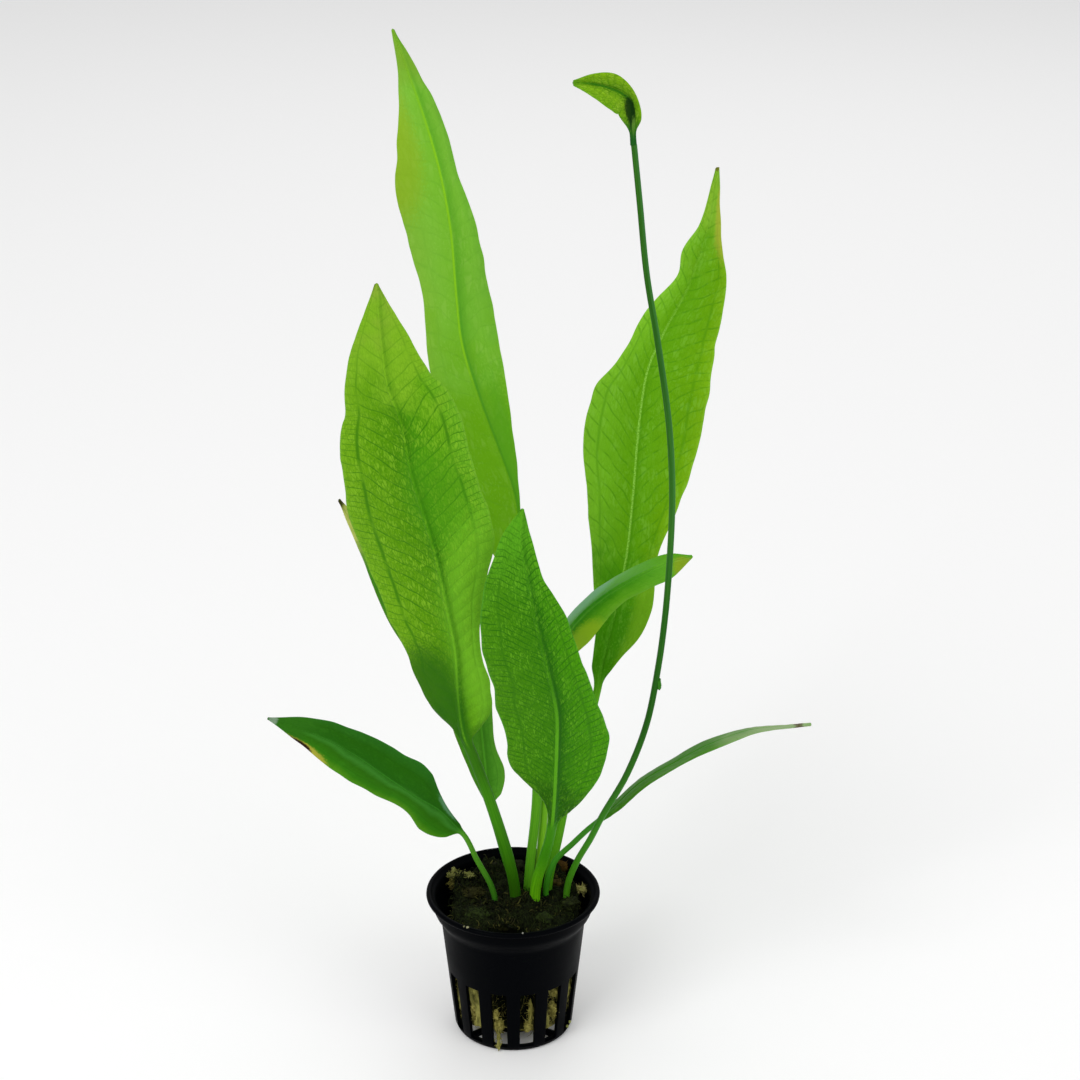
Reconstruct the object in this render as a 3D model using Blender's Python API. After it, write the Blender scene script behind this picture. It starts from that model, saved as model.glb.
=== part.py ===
"""Potted amazon sword plant: eight leaves and a tall bare stem growing from a crown in a plug of
growing wool, in a slotted plastic pot.

The frame's origin is the centre of the pot's underside, +Z points up and -Y is the front.
Lengths below are in millimetres and are turned into metres where the meshes are made.
Left and right of a leaf are as seen from the front, looking along the leaf from its foot to its tip.
"""

import math

import bmesh
import bpy
import numpy as np

MM = 0.001

# Pot, a turned cup with a collar, a lip and slots round its side and under its floor
POT_HEIGHT = 47.0
LIP_RADIUS = 26.8
MOUTH_RADIUS = 24.9
COLLAR_RADIUS = 24.5
COLLAR_FOOT = 41.6
SHOULDER_HEIGHT = 36.8
SHOULDER_RADIUS = 22.2
WALL_FOOT_RADIUS = 18.3
FOOT_RADIUS = 17.1
POT_WALL = 1.1
FLOOR_THICKNESS = 1.3
POT_STEPS = 56
SLOT_COUNT = 14
SLOT_TURN = 0.5
SLOT_TOP = 21.5
SLOT_FOOT = 1.6
SLOT_ARC = 13.8
FLOOR_SLOT_COUNT = 7
FLOOR_SLOT_ARC = 43.0
FLOOR_SLOT_INNER = 8.0
FLOOR_SLOT_OUTER = 16.0
FLOOR_SLOT_STEPS = 4
THROUGH_FLOOR = (-1.0, 3.0)

# Growing wool, a lumpy plug with a flat left side, a hollow down its front and an open pocket round
# the crown. The hollow's heading is in radians from +X, and it is deepest above its full height.
# side: inset from the plug's reach, and height. over top: share of the way in from the rim to the
# pocket, and drop below the top. lumps: x, y, rise and spread.
WOOL_FOOT = 4.5
WOOL_TOP = 41.0
WOOL_CLEARANCE = 0.6
WOOL_STEPS = 36
WOOL_LEFT_SIDE = 19.0
WOOL_FRONT_LEFT_SIDE = 20.5
WOOL_SIDE = [(3.5, 4.5), (0.8, 5.1), (0, 7), (0, 11), (0, 16), (0, 21), (0, 27), (0, 33)]
WOOL_OVER_TOP = [(0, 2.5), (0.08, 0.6), (0.3, 0), (0.65, 0), (1, 0.8)]
WOOL_LUMPS = [
    (-18.0, 10.0, 4.5, 3.2), (-7.5, 16.5, 4.5, 4.0), (14.5, 16.0, 4.5, 3.6), (20.0, 7.0, 2.5, 3.0),
    (4.0, 1.0, 2.2, 7.5),
]
HOLLOW_HEADING = 4.64
HOLLOW_HALF_ANGLE = 0.52
HOLLOW_DEPTH = 8.0
HOLLOW_FOOT = 8.0
HOLLOW_FULL = 19.0

# Crown, the stout stock at the foot of the leaves. Its profile holds shares of its reach and heights.
CROWN_CENTRE = (5.4, 2.4)
CROWN_REACH = (13.0, 8.2)
CROWN_TOP = 42.4
CROWN_FOOT = 29.0
CROWN_DOME = 0.3
CROWN_SIDES = 24
CROWN_PROFILE = [(0.6, 29), (0.85, 30.5), (1, 32), (1, 40.6), (0.94, 41.8), (0.82, 42.4)]
SOCKET_FOOT = 35.0
SOCKET_SIDES = 8
SOCKET_CLEARANCE = 0.7
SOCKET_RUN_OUT = 1.5
POCKET_MARGIN = 0.8
POCKET_FLOOR = 28.4

# Leaves: rows hold x, y, z of the midrib and the half widths left and right of it, foot to tip.
# stalk: radius at the foot, at the neck of the blade and at the tip. turn: the blade's turn about
# its midrib in degrees, positive with the right half nearer to the front. droop: how far the left
# and the right half bend back from the front. wave: height, number and phase of the edge's waves.
# ribbed_front: true where the underside, with its raised midrib, faces the front.
BLADE_HALF_THICKNESS = 0.35
RIB_HEIGHT = 0.9
LEAVES = {
    "leaf_tall": {
        "rows": [
            (4.1, 4, 35.3, 0, 0), (4.9, 4.6, 50, 0, 0), (7.1, 6.5, 75, 0, 0), (7.4, 10, 94, 0, 0),
            (6.3, 14, 119, 0, 0), (4.4, 16.5, 138, 2, 0), (2.7, 18, 155, 10, 0.2), (0, 19, 172, 13, 2.2),
            (-4.5, 20, 185, 13, 5.8), (-10, 20, 201, 12, 9.6), (-14.7, 20, 219, 10.1, 11.4),
            (-15.7, 20, 230, 9.6, 10.4), (-17.4, 18, 254, 13, 7.4), (-19.6, 16, 268, 12.9, 5.1),
            (-22.4, 14, 280, 9.4, 5.2), (-28, 10, 299, 2.7, 2.6), (-31.7, 7, 311, 0.3, 0.3),
        ],
        "stalk": (1.5, 1.15, 0.4), "turn": (0, -10), "droop": (8, 18), "wave": (0.8, 5, 0.0),
        "ribbed_front": False,
    },
    "leaf_front_left": {
        "rows": [
            (1.2, -0.6, 35.3, 0, 0), (0.5, -1.2, 48, 0, 0), (-1, -4.5, 59, 0, 0), (-4.6, -9, 75.5, 0, 0),
            (-11.7, -16, 102.5, 0, 0.5), (-13.6, -18, 109, 1.8, 4), (-14.7, -20.5, 117, 8, 8.7),
            (-15.3, -22.5, 127, 12.8, 9.5), (-15.7, -25, 140, 15.9, 8), (-17.8, -28, 155, 19.1, 10.5),
            (-21.5, -32, 176.5, 20.9, 17.5), (-24.3, -33.6, 188, 21.6, 17.5), (-26.5, -35, 197, 21, 17),
            (-29.9, -36, 216, 17.3, 14.8),
            (-32.4, -36, 223, 13.7, 12.7), (-33.8, -35, 233, 9.8, 9.2), (-35.2, -31, 251, 0.3, 0.3),
        ],
        "stalk": (1.7, 1.75, 0.4), "turn": (5, 10), "droop": (12, 10), "wave": (0.9, 4, 1.0),
        "ribbed_front": True,
    },
    "leaf_front_centre": {
        "rows": [
            (6.6, -0.7, 35.3, 0, 0), (7, -1.8, 49, 0, 0), (9.4, -6.8, 61.5, 0, 0), (11.4, -13, 73.5, 0, 0.5),
            (12.4, -19, 87.5, 5, 8.6), (12.8, -23, 99, 12.9, 14.2), (13.1, -27, 111, 14.7, 15.6),
            (13, -31, 123.5, 17.4, 12), (11.5, -34, 133.5, 16.6, 10.6), (9.8, -36, 142.5, 16.6, 9.8),
            (7.6, -38, 153, 15.9, 8.7), (4.8, -40, 169.5, 12, 4.1), (2.9, -40, 181.5, 5.5, 3),
            (3.5, -39, 189.5, 0.3, 0.3),
        ],
        "stalk": (1.7, 1.6, 0.4), "turn": (0, -6), "droop": (12, 12), "wave": (0.7, 4, 2.0),
        "ribbed_front": True,
    },
    "leaf_behind_left": {
        "rows": [
            (0.2, 4.8, 35.3, 0, 0), (-0.3, 4.6, 47, 0, 0), (-2.6, 3.6, 57, 0, 0), (-6.2, 2, 72.5, 0, 0.5),
            (-7.7, 2, 79, 2.1, 4.5), (-8.2, 3, 86.5, 4.9, 5.7), (-8.8, 4, 93, 7, 3.8),
            (-11.4, 6, 109, 9.5, 5.2), (-18.9, 8, 121.5, 9.5, 9), (-29.2, 9, 134, 7.4, 10),
            (-40.5, 8, 154, 3.5, 6), (-50.2, 5, 174.5, 0.3, 0.3),
        ],
        "stalk": (1.3, 1.2, 0.4), "turn": (0, 0), "droop": (8, 12), "wave": (0.6, 3, 0.5),
        "ribbed_front": False,
    },
    "leaf_right": {
        "rows": [
            (10.4, 5.6, 35.3, 0, 0), (10.9, 6.4, 46, 0, 0), (13.6, 9, 58, 0, 0), (18, 14, 77.5, 0, 0),
            (22, 18, 89, 0, 0), (26, 23, 104, 2.5, 0.5), (28.2, 26, 115, 3.6, 5.4), (30, 28, 122, 5, 9.2),
            (31.9, 30, 130, 7.5, 10.8), (35, 34, 146, 11.8, 9.4), (36.5, 37, 161.5, 15, 14.4),
            (38.4, 41, 186, 17.1, 19), (39.3, 41.5, 194, 14.8, 19.4), (40.5, 42, 201, 9.9, 19.3),
            (45.8, 43, 214, 8.1, 16.3), (50.6, 43, 223.5, 5.9, 12.9), (52.9, 42.7, 229, 4.4, 11),
            (54.9, 42, 236, 5.4, 8.7), (57.4, 41, 245, 3.1, 4.5), (59.5, 37, 265, 0.3, 0.3),
        ],
        "stalk": (1.45, 1.2, 0.4), "turn": (5, 12), "droop": (15, 0), "wave": (1.0, 5, 2.5),
        "ribbed_front": False,
    },
    "leaf_bent_right": {
        "rows": [
            (7, 6.6, 35.3, 0, 0), (8.1, 7.2, 50, 0, 0), (9.7, 9.2, 74, 0, 0), (9.8, 11.5, 93.5, 0, 0),
            (11.2, 12, 113, 2.5, 3), (13.8, 11, 124, 5, 5.3), (17.3, 9, 130.5, 6.5, 6.5), (23, 7, 138.3, 7, 6),
            (29.1, 5, 144.5, 7, 4.6), (37.5, 2, 151.3, 6.5, 4.6), (46.3, 0, 156.7, 5, 4),
            (52.8, -1, 159, 0.3, 0.3),
        ],
        "stalk": (1.25, 1.05, 0.35), "turn": (0, 15), "droop": (74, 0), "wave": (0.3, 3, 0.0),
        "ribbed_front": False,
    },
    "leaf_low_left": {
        "rows": [
            (-4.2, 1.8, 35.3, 0, 0), (-6.5, 1.2, 46.5, 0, 0), (-11, -2, 58.5, 0, 0), (-15, -5.5, 69.5, 1, 1),
            (-17.9, -7, 73.8, 6.2, 1.5), (-21.9, -9, 79.5, 8.4, 2.7), (-28.2, -12, 85.5, 5.5, 8.3),
            (-37.7, -15, 94.5, 6.4, 8.3), (-47.6, -18, 104, 7.3, 6.6), (-58.8, -21, 112, 4.5, 4.3),
            (-70.6, -23, 117.5, 0.3, 0.3),
        ],
        "stalk": (0.95, 0.85, 0.35), "turn": (-10, -35), "droop": (5, 5), "wave": (0.5, 3, 1.5),
        "ribbed_front": False,
    },
    "leaf_low_right": {
        "rows": [
            (10.4, 2.2, 35.3, 0, 0), (10.4, 2.6, 47.5, 0, 0), (12.9, 3.2, 55, 0, 0), (18.4, 3.6, 61, 0, 0),
            (23.1, 4, 65.8, 0, 0), (26.9, 4, 69.3, 1.4, 1.6), (31.6, 5, 73.4, 3, 3.6),
            (38.7, 6, 80.3, 4.8, 5), (49.4, 8, 86.5, 5.4, 6), (59.9, 9, 92.2, 5, 5.8),
            (72.1, 10, 96.6, 4.6, 5.2), (84.2, 10, 98.1, 3, 3), (90.9, 10, 98.9, 0.3, 0.3),
        ],
        "stalk": (0.95, 0.85, 0.35), "turn": (88, 108), "droop": (0, 0), "wave": (0.4, 3, 0.8),
        "ribbed_front": False,
    },
}
LEAF_ROWS = 23

# Tall bare stem and the small folded leaf at its tip
STEM_PATH = [
    (16.3, 1.8, 35.3), (16.9, 1.2, 48), (19.6, -0.6, 57), (23.8, -2.4, 66.3), (26.6, -3.8, 73.5), (34.3, -6, 90),
    (39.7, -7, 106.5), (43, -8, 126.5), (44.8, -9, 145), (45.7, -9, 162.5), (46, -9, 180), (45.1, -8, 198),
    (41.1, -7, 226.5), (37.8, -5, 245.5), (35.6, -3, 265.5), (33.9, -0.7, 280.4),
]
STEM_RADII = (1.0, 0.85)
STEM_ROWS = 24
STEM_SIDES = 10
TIP_LEAF = {
    "rows": [
        (33.8, -0.6, 280.8, 0, 0), (33.5, -0.2, 285.4, 2.2, 1.9), (33.4, -0.8, 289.5, 3.8, 2.6),
        (32.6, -2, 293.4, 5, 2.4), (30.3, -4, 295.8, 5.6, 3.5), (26.6, -6, 297.8, 5.2, 4.6),
        (22, -8, 299.3, 3.6, 3.1), (17.2, -10, 300, 0.8, 0.8),
    ],
    "stalk": (1.1, 0.9, 0.4), "turn": (0, -20), "droop": (-20, -30), "wave": (0.0, 1, 0.0),
    "ribbed_front": False,
}
TIP_LEAF_ROWS = 12

COLOURS = {
    "net_pot": ((0.006, 0.006, 0.008), 0.38),
    "growing_wool": ((0.20, 0.19, 0.06), 0.95),
    "crown": ((0.16, 0.20, 0.04), 0.7),
    "leaf_tall": ((0.16, 0.42, 0.04), 0.45),
    "leaf_front_left": ((0.11, 0.36, 0.01), 0.5),
    "leaf_front_centre": ((0.06, 0.27, 0.01), 0.5),
    "leaf_behind_left": ((0.05, 0.24, 0.01), 0.5),
    "leaf_right": ((0.13, 0.38, 0.02), 0.45),
    "leaf_bent_right": ((0.08, 0.26, 0.02), 0.4),
    "leaf_low_left": ((0.02, 0.17, 0.01), 0.4),
    "leaf_low_right": ((0.04, 0.22, 0.01), 0.45),
    "tall_stem": ((0.02, 0.13, 0.01), 0.4),
    "stem_tip_leaf": ((0.02, 0.12, 0.01), 0.45),
}


def clear_scene():
    """Remove the objects that the scene starts with."""
    for thing in list(bpy.data.objects):
        bpy.data.objects.remove(thing, do_unlink=True)


def through(stations, values, at):
    """A smooth curve through values given at stations, read at the places at (cubic Hermite)."""
    stations = np.asarray(stations, float)
    values = np.asarray(values, float)
    slopes = np.gradient(values, stations, axis=0)
    low = np.clip(np.searchsorted(stations, at, side="right") - 1, 0, len(stations) - 2)
    span = stations[low + 1] - stations[low]
    t = (at - stations[low]) / span
    if values.ndim > 1:
        t = t[:, None]
        span = span[:, None]
    return (
        (1 + 2 * t) * (1 - t) ** 2 * values[low]
        + t * (1 - t) ** 2 * span * slopes[low]
        + t**2 * (3 - 2 * t) * values[low + 1]
        + t**2 * (t - 1) * span * slopes[low + 1]
    )


def length_stations(points):
    """Each point's share of the whole length of the path through points, 0 to 1."""
    steps = np.linalg.norm(np.diff(points, axis=0), axis=1)
    far = np.concatenate([[0], np.cumsum(steps)])
    return far / far[-1]


def unit(vectors):
    """The vectors, each made one long."""
    return vectors / np.linalg.norm(vectors, axis=1)[:, None]


def blend(share):
    """0 below 0, 1 above 1, and a smooth rise between."""
    share = np.clip(share, 0, 1)
    return share * share * (3 - 2 * share)


def leaf_sections(leaf, row_count):
    """Closed sections of a leaf, foot to tip, as an array of rows, points round each, and x, y, z.

    A section is a round stalk below the blade. In the blade it is a thin lens with a raised midrib,
    whose halves turn, droop and wave. Points run from the right edge along the front side to the
    left edge, and back along the rear side.
    """
    rows = np.array(leaf["rows"], float)
    station = length_stations(rows[:, :3])
    s = np.linspace(0, 0.985, row_count)
    middle = through(station, rows[:, :3], s)
    width = np.maximum(through(station, rows[:, 3:], s), 0)
    neck = station[np.argmax(rows[:, 3:].max(axis=1) > 0) - 1]
    widest = station[np.argmax(rows[:, 3:].sum(axis=1))]
    stalk = np.interp(s, [0, neck, 1], leaf["stalk"])
    leafy = np.where(s > widest, 1, blend((width.mean(axis=1) - 0.6 * stalk) / 2.5))
    width = np.maximum(width, stalk[:, None])

    along = unit(np.gradient(middle, s, axis=0))
    sideways = unit(np.cross([0, 1, 0], along))
    front = np.cross(sideways, along)
    turn = np.radians(np.interp(s, [neck, 1], leaf["turn"])) * leafy
    across = sideways * np.cos(turn)[:, None] + front * np.sin(turn)[:, None]
    facing = front * np.cos(turn)[:, None] - sideways * np.sin(turn)[:, None]

    thirds = np.array([1, 2 / 3, 1 / 3, 0, -1 / 3, -2 / 3, -1, -2 / 3, -1 / 3, 0, 1 / 3, 2 / 3])
    on_front = np.array([1] * 7 + [-1] * 5)
    ribbed = on_front == (1 if leaf["ribbed_front"] else -1)
    sections = np.empty((row_count, len(thirds), 3))
    for i, (u, side) in enumerate(zip(thirds, on_front)):
        hand = 1 if u >= 0 else 0
        half_width = width[:, hand]
        outer = max(3 * abs(u) - 1, 0) / 2
        reach = min(3 * abs(u), 1) * stalk + outer * (half_width - stalk)
        reach = reach * leafy + stalk * math.sin(abs(u) * math.pi / 2) * (1 - leafy)
        thick = BLADE_HALF_THICKNESS * (1 - abs(u) ** 8)
        if ribbed[i]:
            thick = thick + RIB_HEIGHT * stalk * max(1 - (3 * u) ** 2, 0)
        thick = thick * leafy + stalk * math.cos(u * math.pi / 2) * (1 - leafy)
        beyond = np.maximum(reach - stalk, 0) * leafy
        droop = math.radians(leaf["droop"][hand])
        height, count, phase = leaf["wave"]
        wave = height * outer**2 * np.sin(2 * math.pi * count * s + phase + 2 * hand) * leafy
        hand_sign = 1 if hand else -1
        flat = hand_sign * (np.minimum(reach, stalk) + beyond * math.cos(droop))
        back = beyond * math.sin(droop)
        lean = math.sin(droop) * hand_sign if outer > 0 else 0
        skin = unit(facing + across * (lean * leafy)[:, None])
        sections[:, i] = (
            middle + across * flat[:, None] + facing * (wave - back)[:, None] + skin * (side * thick)[:, None]
        )
    return sections, middle, through(station, rows[:, :3], np.array([1.0]))[0]


def tube_sections(path, radii, row_count, sides):
    """Round sections along a smooth path, with a radius that tapers from foot to tip."""
    path = np.array(path, float)
    s = np.linspace(0, 1, row_count)
    middle = through(length_stations(path), path, s)
    along = unit(np.gradient(middle, s, axis=0))
    sideways = unit(np.cross([0, 1, 0], along))
    front = np.cross(sideways, along)
    angle = np.arange(sides) / sides * 2 * math.pi
    radius = np.linspace(*radii, row_count)[:, None, None]
    ring = sideways[:, None] * np.cos(angle)[:, None] + front[:, None] * np.sin(angle)[:, None]
    return middle[:, None] + radius * ring, middle


def loft(name, sections, first, last):
    """A closed mesh object over sections, closed by a point at each end. Lengths are in millimetres."""
    bm = bmesh.new()
    rings = [[bm.verts.new(point * MM) for point in section] for section in sections]
    for low, high in zip(rings, rings[1:]):
        for i in range(len(low)):
            j = (i + 1) % len(low)
            bm.faces.new((low[i], low[j], high[j], high[i]))
    for ring, end in ((rings[0], first), (rings[-1], last)):
        tip = bm.verts.new(np.asarray(end, float) * MM)
        for i in range(len(ring)):
            bm.faces.new((ring[i], ring[(i + 1) % len(ring)], tip))
    bmesh.ops.recalc_face_normals(bm, faces=bm.faces[:])
    return finish_mesh(name, bm)


def finish_mesh(name, bm):
    """Put a bmesh into an object of the scene, with smooth shading broken at sharp edges."""
    mesh = bpy.data.meshes.new(name)
    bm.to_mesh(mesh)
    bm.free()
    mesh.shade_smooth()
    mesh.set_sharp_from_angle(angle=math.radians(40))
    thing = bpy.data.objects.new(name, mesh)
    bpy.context.collection.objects.link(thing)
    return thing


def paint(thing):
    """Give a sub-part its own material."""
    colour, roughness = COLOURS[thing.name]
    material = bpy.data.materials.new(thing.name)
    material.use_nodes = True
    shader = material.node_tree.nodes["Principled BSDF"]
    shader.inputs["Base Color"].default_value = (*colour, 1)
    shader.inputs["Roughness"].default_value = roughness
    material.diffuse_color = (*colour, 1)
    thing.data.materials.append(material)


def as_cutter(thing):
    """Hide a piece that only cuts others."""
    thing.hide_render = True
    thing.display_type = "WIRE"
    return thing


def cut(thing, cutter):
    """Take the cutter's shape out of a piece."""
    boolean = thing.modifiers.new("cut_" + cutter.name, "BOOLEAN")
    boolean.operation = "DIFFERENCE"
    boolean.solver = "EXACT"
    boolean.object = cutter


def pot_inner_radius(z):
    """The radius of the inside of the pot's tapered wall at height z."""
    foot = WALL_FOOT_RADIUS - POT_WALL
    shoulder = SHOULDER_RADIUS - POT_WALL
    return foot + (shoulder - foot) * z / SHOULDER_HEIGHT


def turned_cup(name):
    """The pot's wall, collar, lip and floor, turned round its axis."""
    shoulder_inside = SHOULDER_RADIUS - POT_WALL
    collar_inside = COLLAR_RADIUS - POT_WALL
    profile = [
        (0, 0),
        (FOOT_RADIUS, 0),
        (FOOT_RADIUS + 0.9, 0.6),
        (WALL_FOOT_RADIUS + 0.1, 2.4),
        (SHOULDER_RADIUS, SHOULDER_HEIGHT),
        (COLLAR_RADIUS - 0.3, COLLAR_FOOT),
        (COLLAR_RADIUS + 0.3, POT_HEIGHT - 2.4),
        (LIP_RADIUS, POT_HEIGHT - 1.6),
        (LIP_RADIUS, POT_HEIGHT - 0.6),
        (LIP_RADIUS - 0.6, POT_HEIGHT),
        (MOUTH_RADIUS + 0.3, POT_HEIGHT),
        (MOUTH_RADIUS - 0.3, POT_HEIGHT - 0.9),
        (collar_inside, COLLAR_FOOT + 0.4),
        (shoulder_inside, SHOULDER_HEIGHT + 0.2),
        (pot_inner_radius(4.0), 4.0),
        (FOOT_RADIUS - 0.6, FLOOR_THICKNESS),
        (0, FLOOR_THICKNESS),
    ]
    start = math.radians(SLOT_TURN) - math.pi / 2 + math.pi / SLOT_COUNT + math.pi / POT_STEPS
    bm = bmesh.new()
    points = [bm.verts.new((r * math.cos(start) * MM, r * math.sin(start) * MM, z * MM)) for r, z in profile]
    edges = [bm.edges.new(pair) for pair in zip(points, points[1:])]
    bmesh.ops.spin(
        bm, geom=points + edges, cent=(0, 0, 0), axis=(0, 0, 1), angle=2 * math.pi, steps=POT_STEPS,
        use_merge=True,
    )
    bmesh.ops.remove_doubles(bm, verts=bm.verts[:], dist=0.00001)
    bmesh.ops.recalc_face_normals(bm, faces=bm.faces[:])
    return finish_mesh(name, bm)


def wedges(name, inner, outer, foot, top, count, arc, steps):
    """Cutting wedges set evenly round the axis between two radii and two heights.

    Each is arc degrees wide in steps flat steps, and they lie symmetrically about the front.
    """
    outline = [(inner, foot), (outer, foot), (outer, top), (inner, top)]
    bm = bmesh.new()
    for k in range(count):
        middle = math.radians(SLOT_TURN) - math.pi / 2 + (k + 0.5) * 2 * math.pi / count
        sections = []
        for share in np.linspace(-0.5, 0.5, steps + 1):
            angle = middle + share * math.radians(arc)
            sections.append([
                bm.verts.new((r * math.cos(angle) * MM, r * math.sin(angle) * MM, z * MM)) for r, z in outline
            ])
        bm.faces.new(sections[0])
        bm.faces.new(reversed(sections[-1]))
        for this, after in zip(sections, sections[1:]):
            for i in range(len(outline)):
                j = (i + 1) % len(outline)
                bm.faces.new((this[j], this[i], after[i], after[j]))
    bmesh.ops.recalc_face_normals(bm, faces=bm.faces[:])
    return as_cutter(finish_mesh(name, bm))


def make_pot():
    """The cup with its slots: a row up the wall, and half as many broad ones through the floor."""
    pot = turned_cup("net_pot")
    cut(pot, wedges("wall_slots", FLOOR_SLOT_INNER, LIP_RADIUS, SLOT_FOOT, SLOT_TOP, SLOT_COUNT, SLOT_ARC, 1))
    cut(pot, wedges(
        "floor_slots", FLOOR_SLOT_INNER, FLOOR_SLOT_OUTER, *THROUGH_FLOOR,
        FLOOR_SLOT_COUNT, FLOOR_SLOT_ARC, FLOOR_SLOT_STEPS,
    ))
    return pot


def wool_radius(angle, z):
    """The plug's reach from the pot's axis: the pot's inside, cut flat on the left, sunk at the front
    and lumpy."""
    reach = pot_inner_radius(min(z, SHOULDER_HEIGHT)) - WOOL_CLEARANCE
    reach = np.full(angle.shape, reach)
    for heading, flat in ((180, WOOL_LEFT_SIDE), (222, WOOL_FRONT_LEFT_SIDE)):
        facing = np.cos(angle - math.radians(heading))
        reach = np.where(facing > 0.3, np.minimum(reach, flat / np.maximum(facing, 0.3)), reach)
    hollow = np.exp(-(((angle - HOLLOW_HEADING) / HOLLOW_HALF_ANGLE) ** 4))
    hollow = hollow * blend((z - HOLLOW_FOOT) / (HOLLOW_FULL - HOLLOW_FOOT))
    ripples = 0.25 * (1 + np.sin(7 * angle + 0.5 * z)) + 0.2 * (1 + np.sin(12 * angle - 0.35 * z))
    return reach - HOLLOW_DEPTH * hollow - ripples


def wool_height(x, y):
    """The height of the plug's top: higher at the back, with separate lumps."""
    height = WOOL_TOP + 2.0 * blend((y + 2) / 16)
    for lump_x, lump_y, rise, spread in WOOL_LUMPS:
        height = height + rise * np.exp(-((x - lump_x) ** 2 + (y - lump_y) ** 2) / (2 * spread**2))
    return height + 0.4 * np.sin(0.9 * x + 0.4) * np.cos(0.8 * y)


def make_wool():
    """The plug: up its outside, in over its top and down into the pocket round the crown."""
    angle = np.arange(WOOL_STEPS) / WOOL_STEPS * 2 * math.pi
    turn = np.stack([np.cos(angle), np.sin(angle)], axis=1)
    pocket = np.array(CROWN_CENTRE) + turn * (np.array(CROWN_REACH) + POCKET_MARGIN)
    loops = []
    for inset, z in WOOL_SIDE:
        reach = wool_radius(angle, z) - inset
        loops.append(np.column_stack([turn * reach[:, None], np.full(len(angle), z)]))
    rim = turn * wool_radius(angle, SHOULDER_HEIGHT)[:, None]
    for share, drop in WOOL_OVER_TOP:
        flat = rim * (1 - share) + pocket * share
        loops.append(np.column_stack([flat, wool_height(*flat.T) - drop]))
    loops.append(np.column_stack([pocket, np.full(len(angle), POCKET_FLOOR + 1.5)]))
    floor = np.array(CROWN_CENTRE) + turn * (np.array(CROWN_REACH) * 0.8)
    loops.append(np.column_stack([floor, np.full(len(angle), POCKET_FLOOR)]))
    return loft("growing_wool", loops, (0, 0, WOOL_FOOT - 0.6), (*CROWN_CENTRE, POCKET_FLOOR))


def socket(name, foot, above, radius):
    """A cutting prism round the foot of a stalk, along its way up."""
    foot = np.array(foot, float)
    rise = np.array(above, float) - foot
    rise = rise / rise[2]
    angle = np.arange(SOCKET_SIDES) / SOCKET_SIDES * 2 * math.pi
    ring = np.column_stack([np.cos(angle), np.sin(angle), 0 * angle]) * (radius + SOCKET_CLEARANCE)
    low = foot + rise * (SOCKET_FOOT - foot[2])
    high = foot + rise * (CROWN_TOP + SOCKET_RUN_OUT - foot[2])
    return as_cutter(loft(name, [low + ring, high + ring], low, high))


def make_crown():
    """The stock: a low rounded body, with a socket for the foot of each leaf and of the stem."""
    angle = np.arange(CROWN_SIDES) / CROWN_SIDES * 2 * math.pi
    turn = np.stack([np.cos(angle), np.sin(angle)], axis=1)
    loops = []
    for share, z in CROWN_PROFILE:
        flat = np.array(CROWN_CENTRE) + turn * np.array(CROWN_REACH) * share
        loops.append(np.column_stack([flat, np.full(len(angle), z)]))
    crown = loft("crown", loops, (*CROWN_CENTRE, CROWN_FOOT), (*CROWN_CENTRE, CROWN_TOP + CROWN_DOME))
    for name, leaf in LEAVES.items():
        cut(crown, socket("socket_of_" + name, *[row[:3] for row in leaf["rows"][:2]], leaf["stalk"][0]))
    cut(crown, socket("socket_of_stem", *STEM_PATH[:2], STEM_RADII[0]))
    return crown


def make_leaf(name, leaf, row_count):
    """One leaf with its stalk, as a closed solid."""
    sections, middle, tip = leaf_sections(leaf, row_count)
    return loft(name, sections, middle[0], tip)


def make_stem():
    """The tall bare stem, round and tapering."""
    sections, middle = tube_sections(STEM_PATH, STEM_RADII, STEM_ROWS, STEM_SIDES)
    return loft("tall_stem", sections, middle[0], middle[-1])


clear_scene()
pieces = [make_pot(), make_wool(), make_crown()]
pieces += [make_leaf(name, leaf, LEAF_ROWS) for name, leaf in LEAVES.items()]
pieces.append(make_stem())
pieces.append(make_leaf("stem_tip_leaf", TIP_LEAF, TIP_LEAF_ROWS))
for piece in pieces:
    paint(piece)
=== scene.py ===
"""The looks of a potted amazon sword plant: a slotted black pot, a plug of mossy growing wool, the crown,
eight leaves, and a tall bare stem with a small folded leaf at its tip.

The origin is the centre of the pot's underside, +Z is up and -Y is the front. Sizes are in millimetres
and are turned into metres where the meshes are made.
"""

import math
from functools import partial

import bmesh
import bpy
import numpy as np
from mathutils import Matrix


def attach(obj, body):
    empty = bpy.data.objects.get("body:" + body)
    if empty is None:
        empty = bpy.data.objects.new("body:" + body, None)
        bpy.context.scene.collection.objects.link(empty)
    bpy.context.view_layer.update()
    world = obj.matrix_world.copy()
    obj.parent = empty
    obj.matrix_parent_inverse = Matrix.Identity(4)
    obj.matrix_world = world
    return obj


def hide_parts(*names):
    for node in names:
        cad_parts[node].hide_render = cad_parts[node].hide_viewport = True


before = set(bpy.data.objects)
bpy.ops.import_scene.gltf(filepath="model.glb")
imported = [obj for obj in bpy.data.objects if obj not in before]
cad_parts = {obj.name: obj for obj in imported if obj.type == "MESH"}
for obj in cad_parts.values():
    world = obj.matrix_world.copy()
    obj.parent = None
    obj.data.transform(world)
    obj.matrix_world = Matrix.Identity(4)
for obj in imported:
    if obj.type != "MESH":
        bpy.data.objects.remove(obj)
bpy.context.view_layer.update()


# The pot is moulded in one piece from black polypropylene, about a millimetre thick. Its wall tapers
# to the foot and flares to a collar and a rolled lip. Slots up the wall and through the floor let
# water and roots through.
MM = 0.001
LIP_RADIUS = 26.8
LIP_THICKNESS = 1.9
LIP_ROUNDING = 0.85
POT_HEIGHT = 47.0
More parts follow.
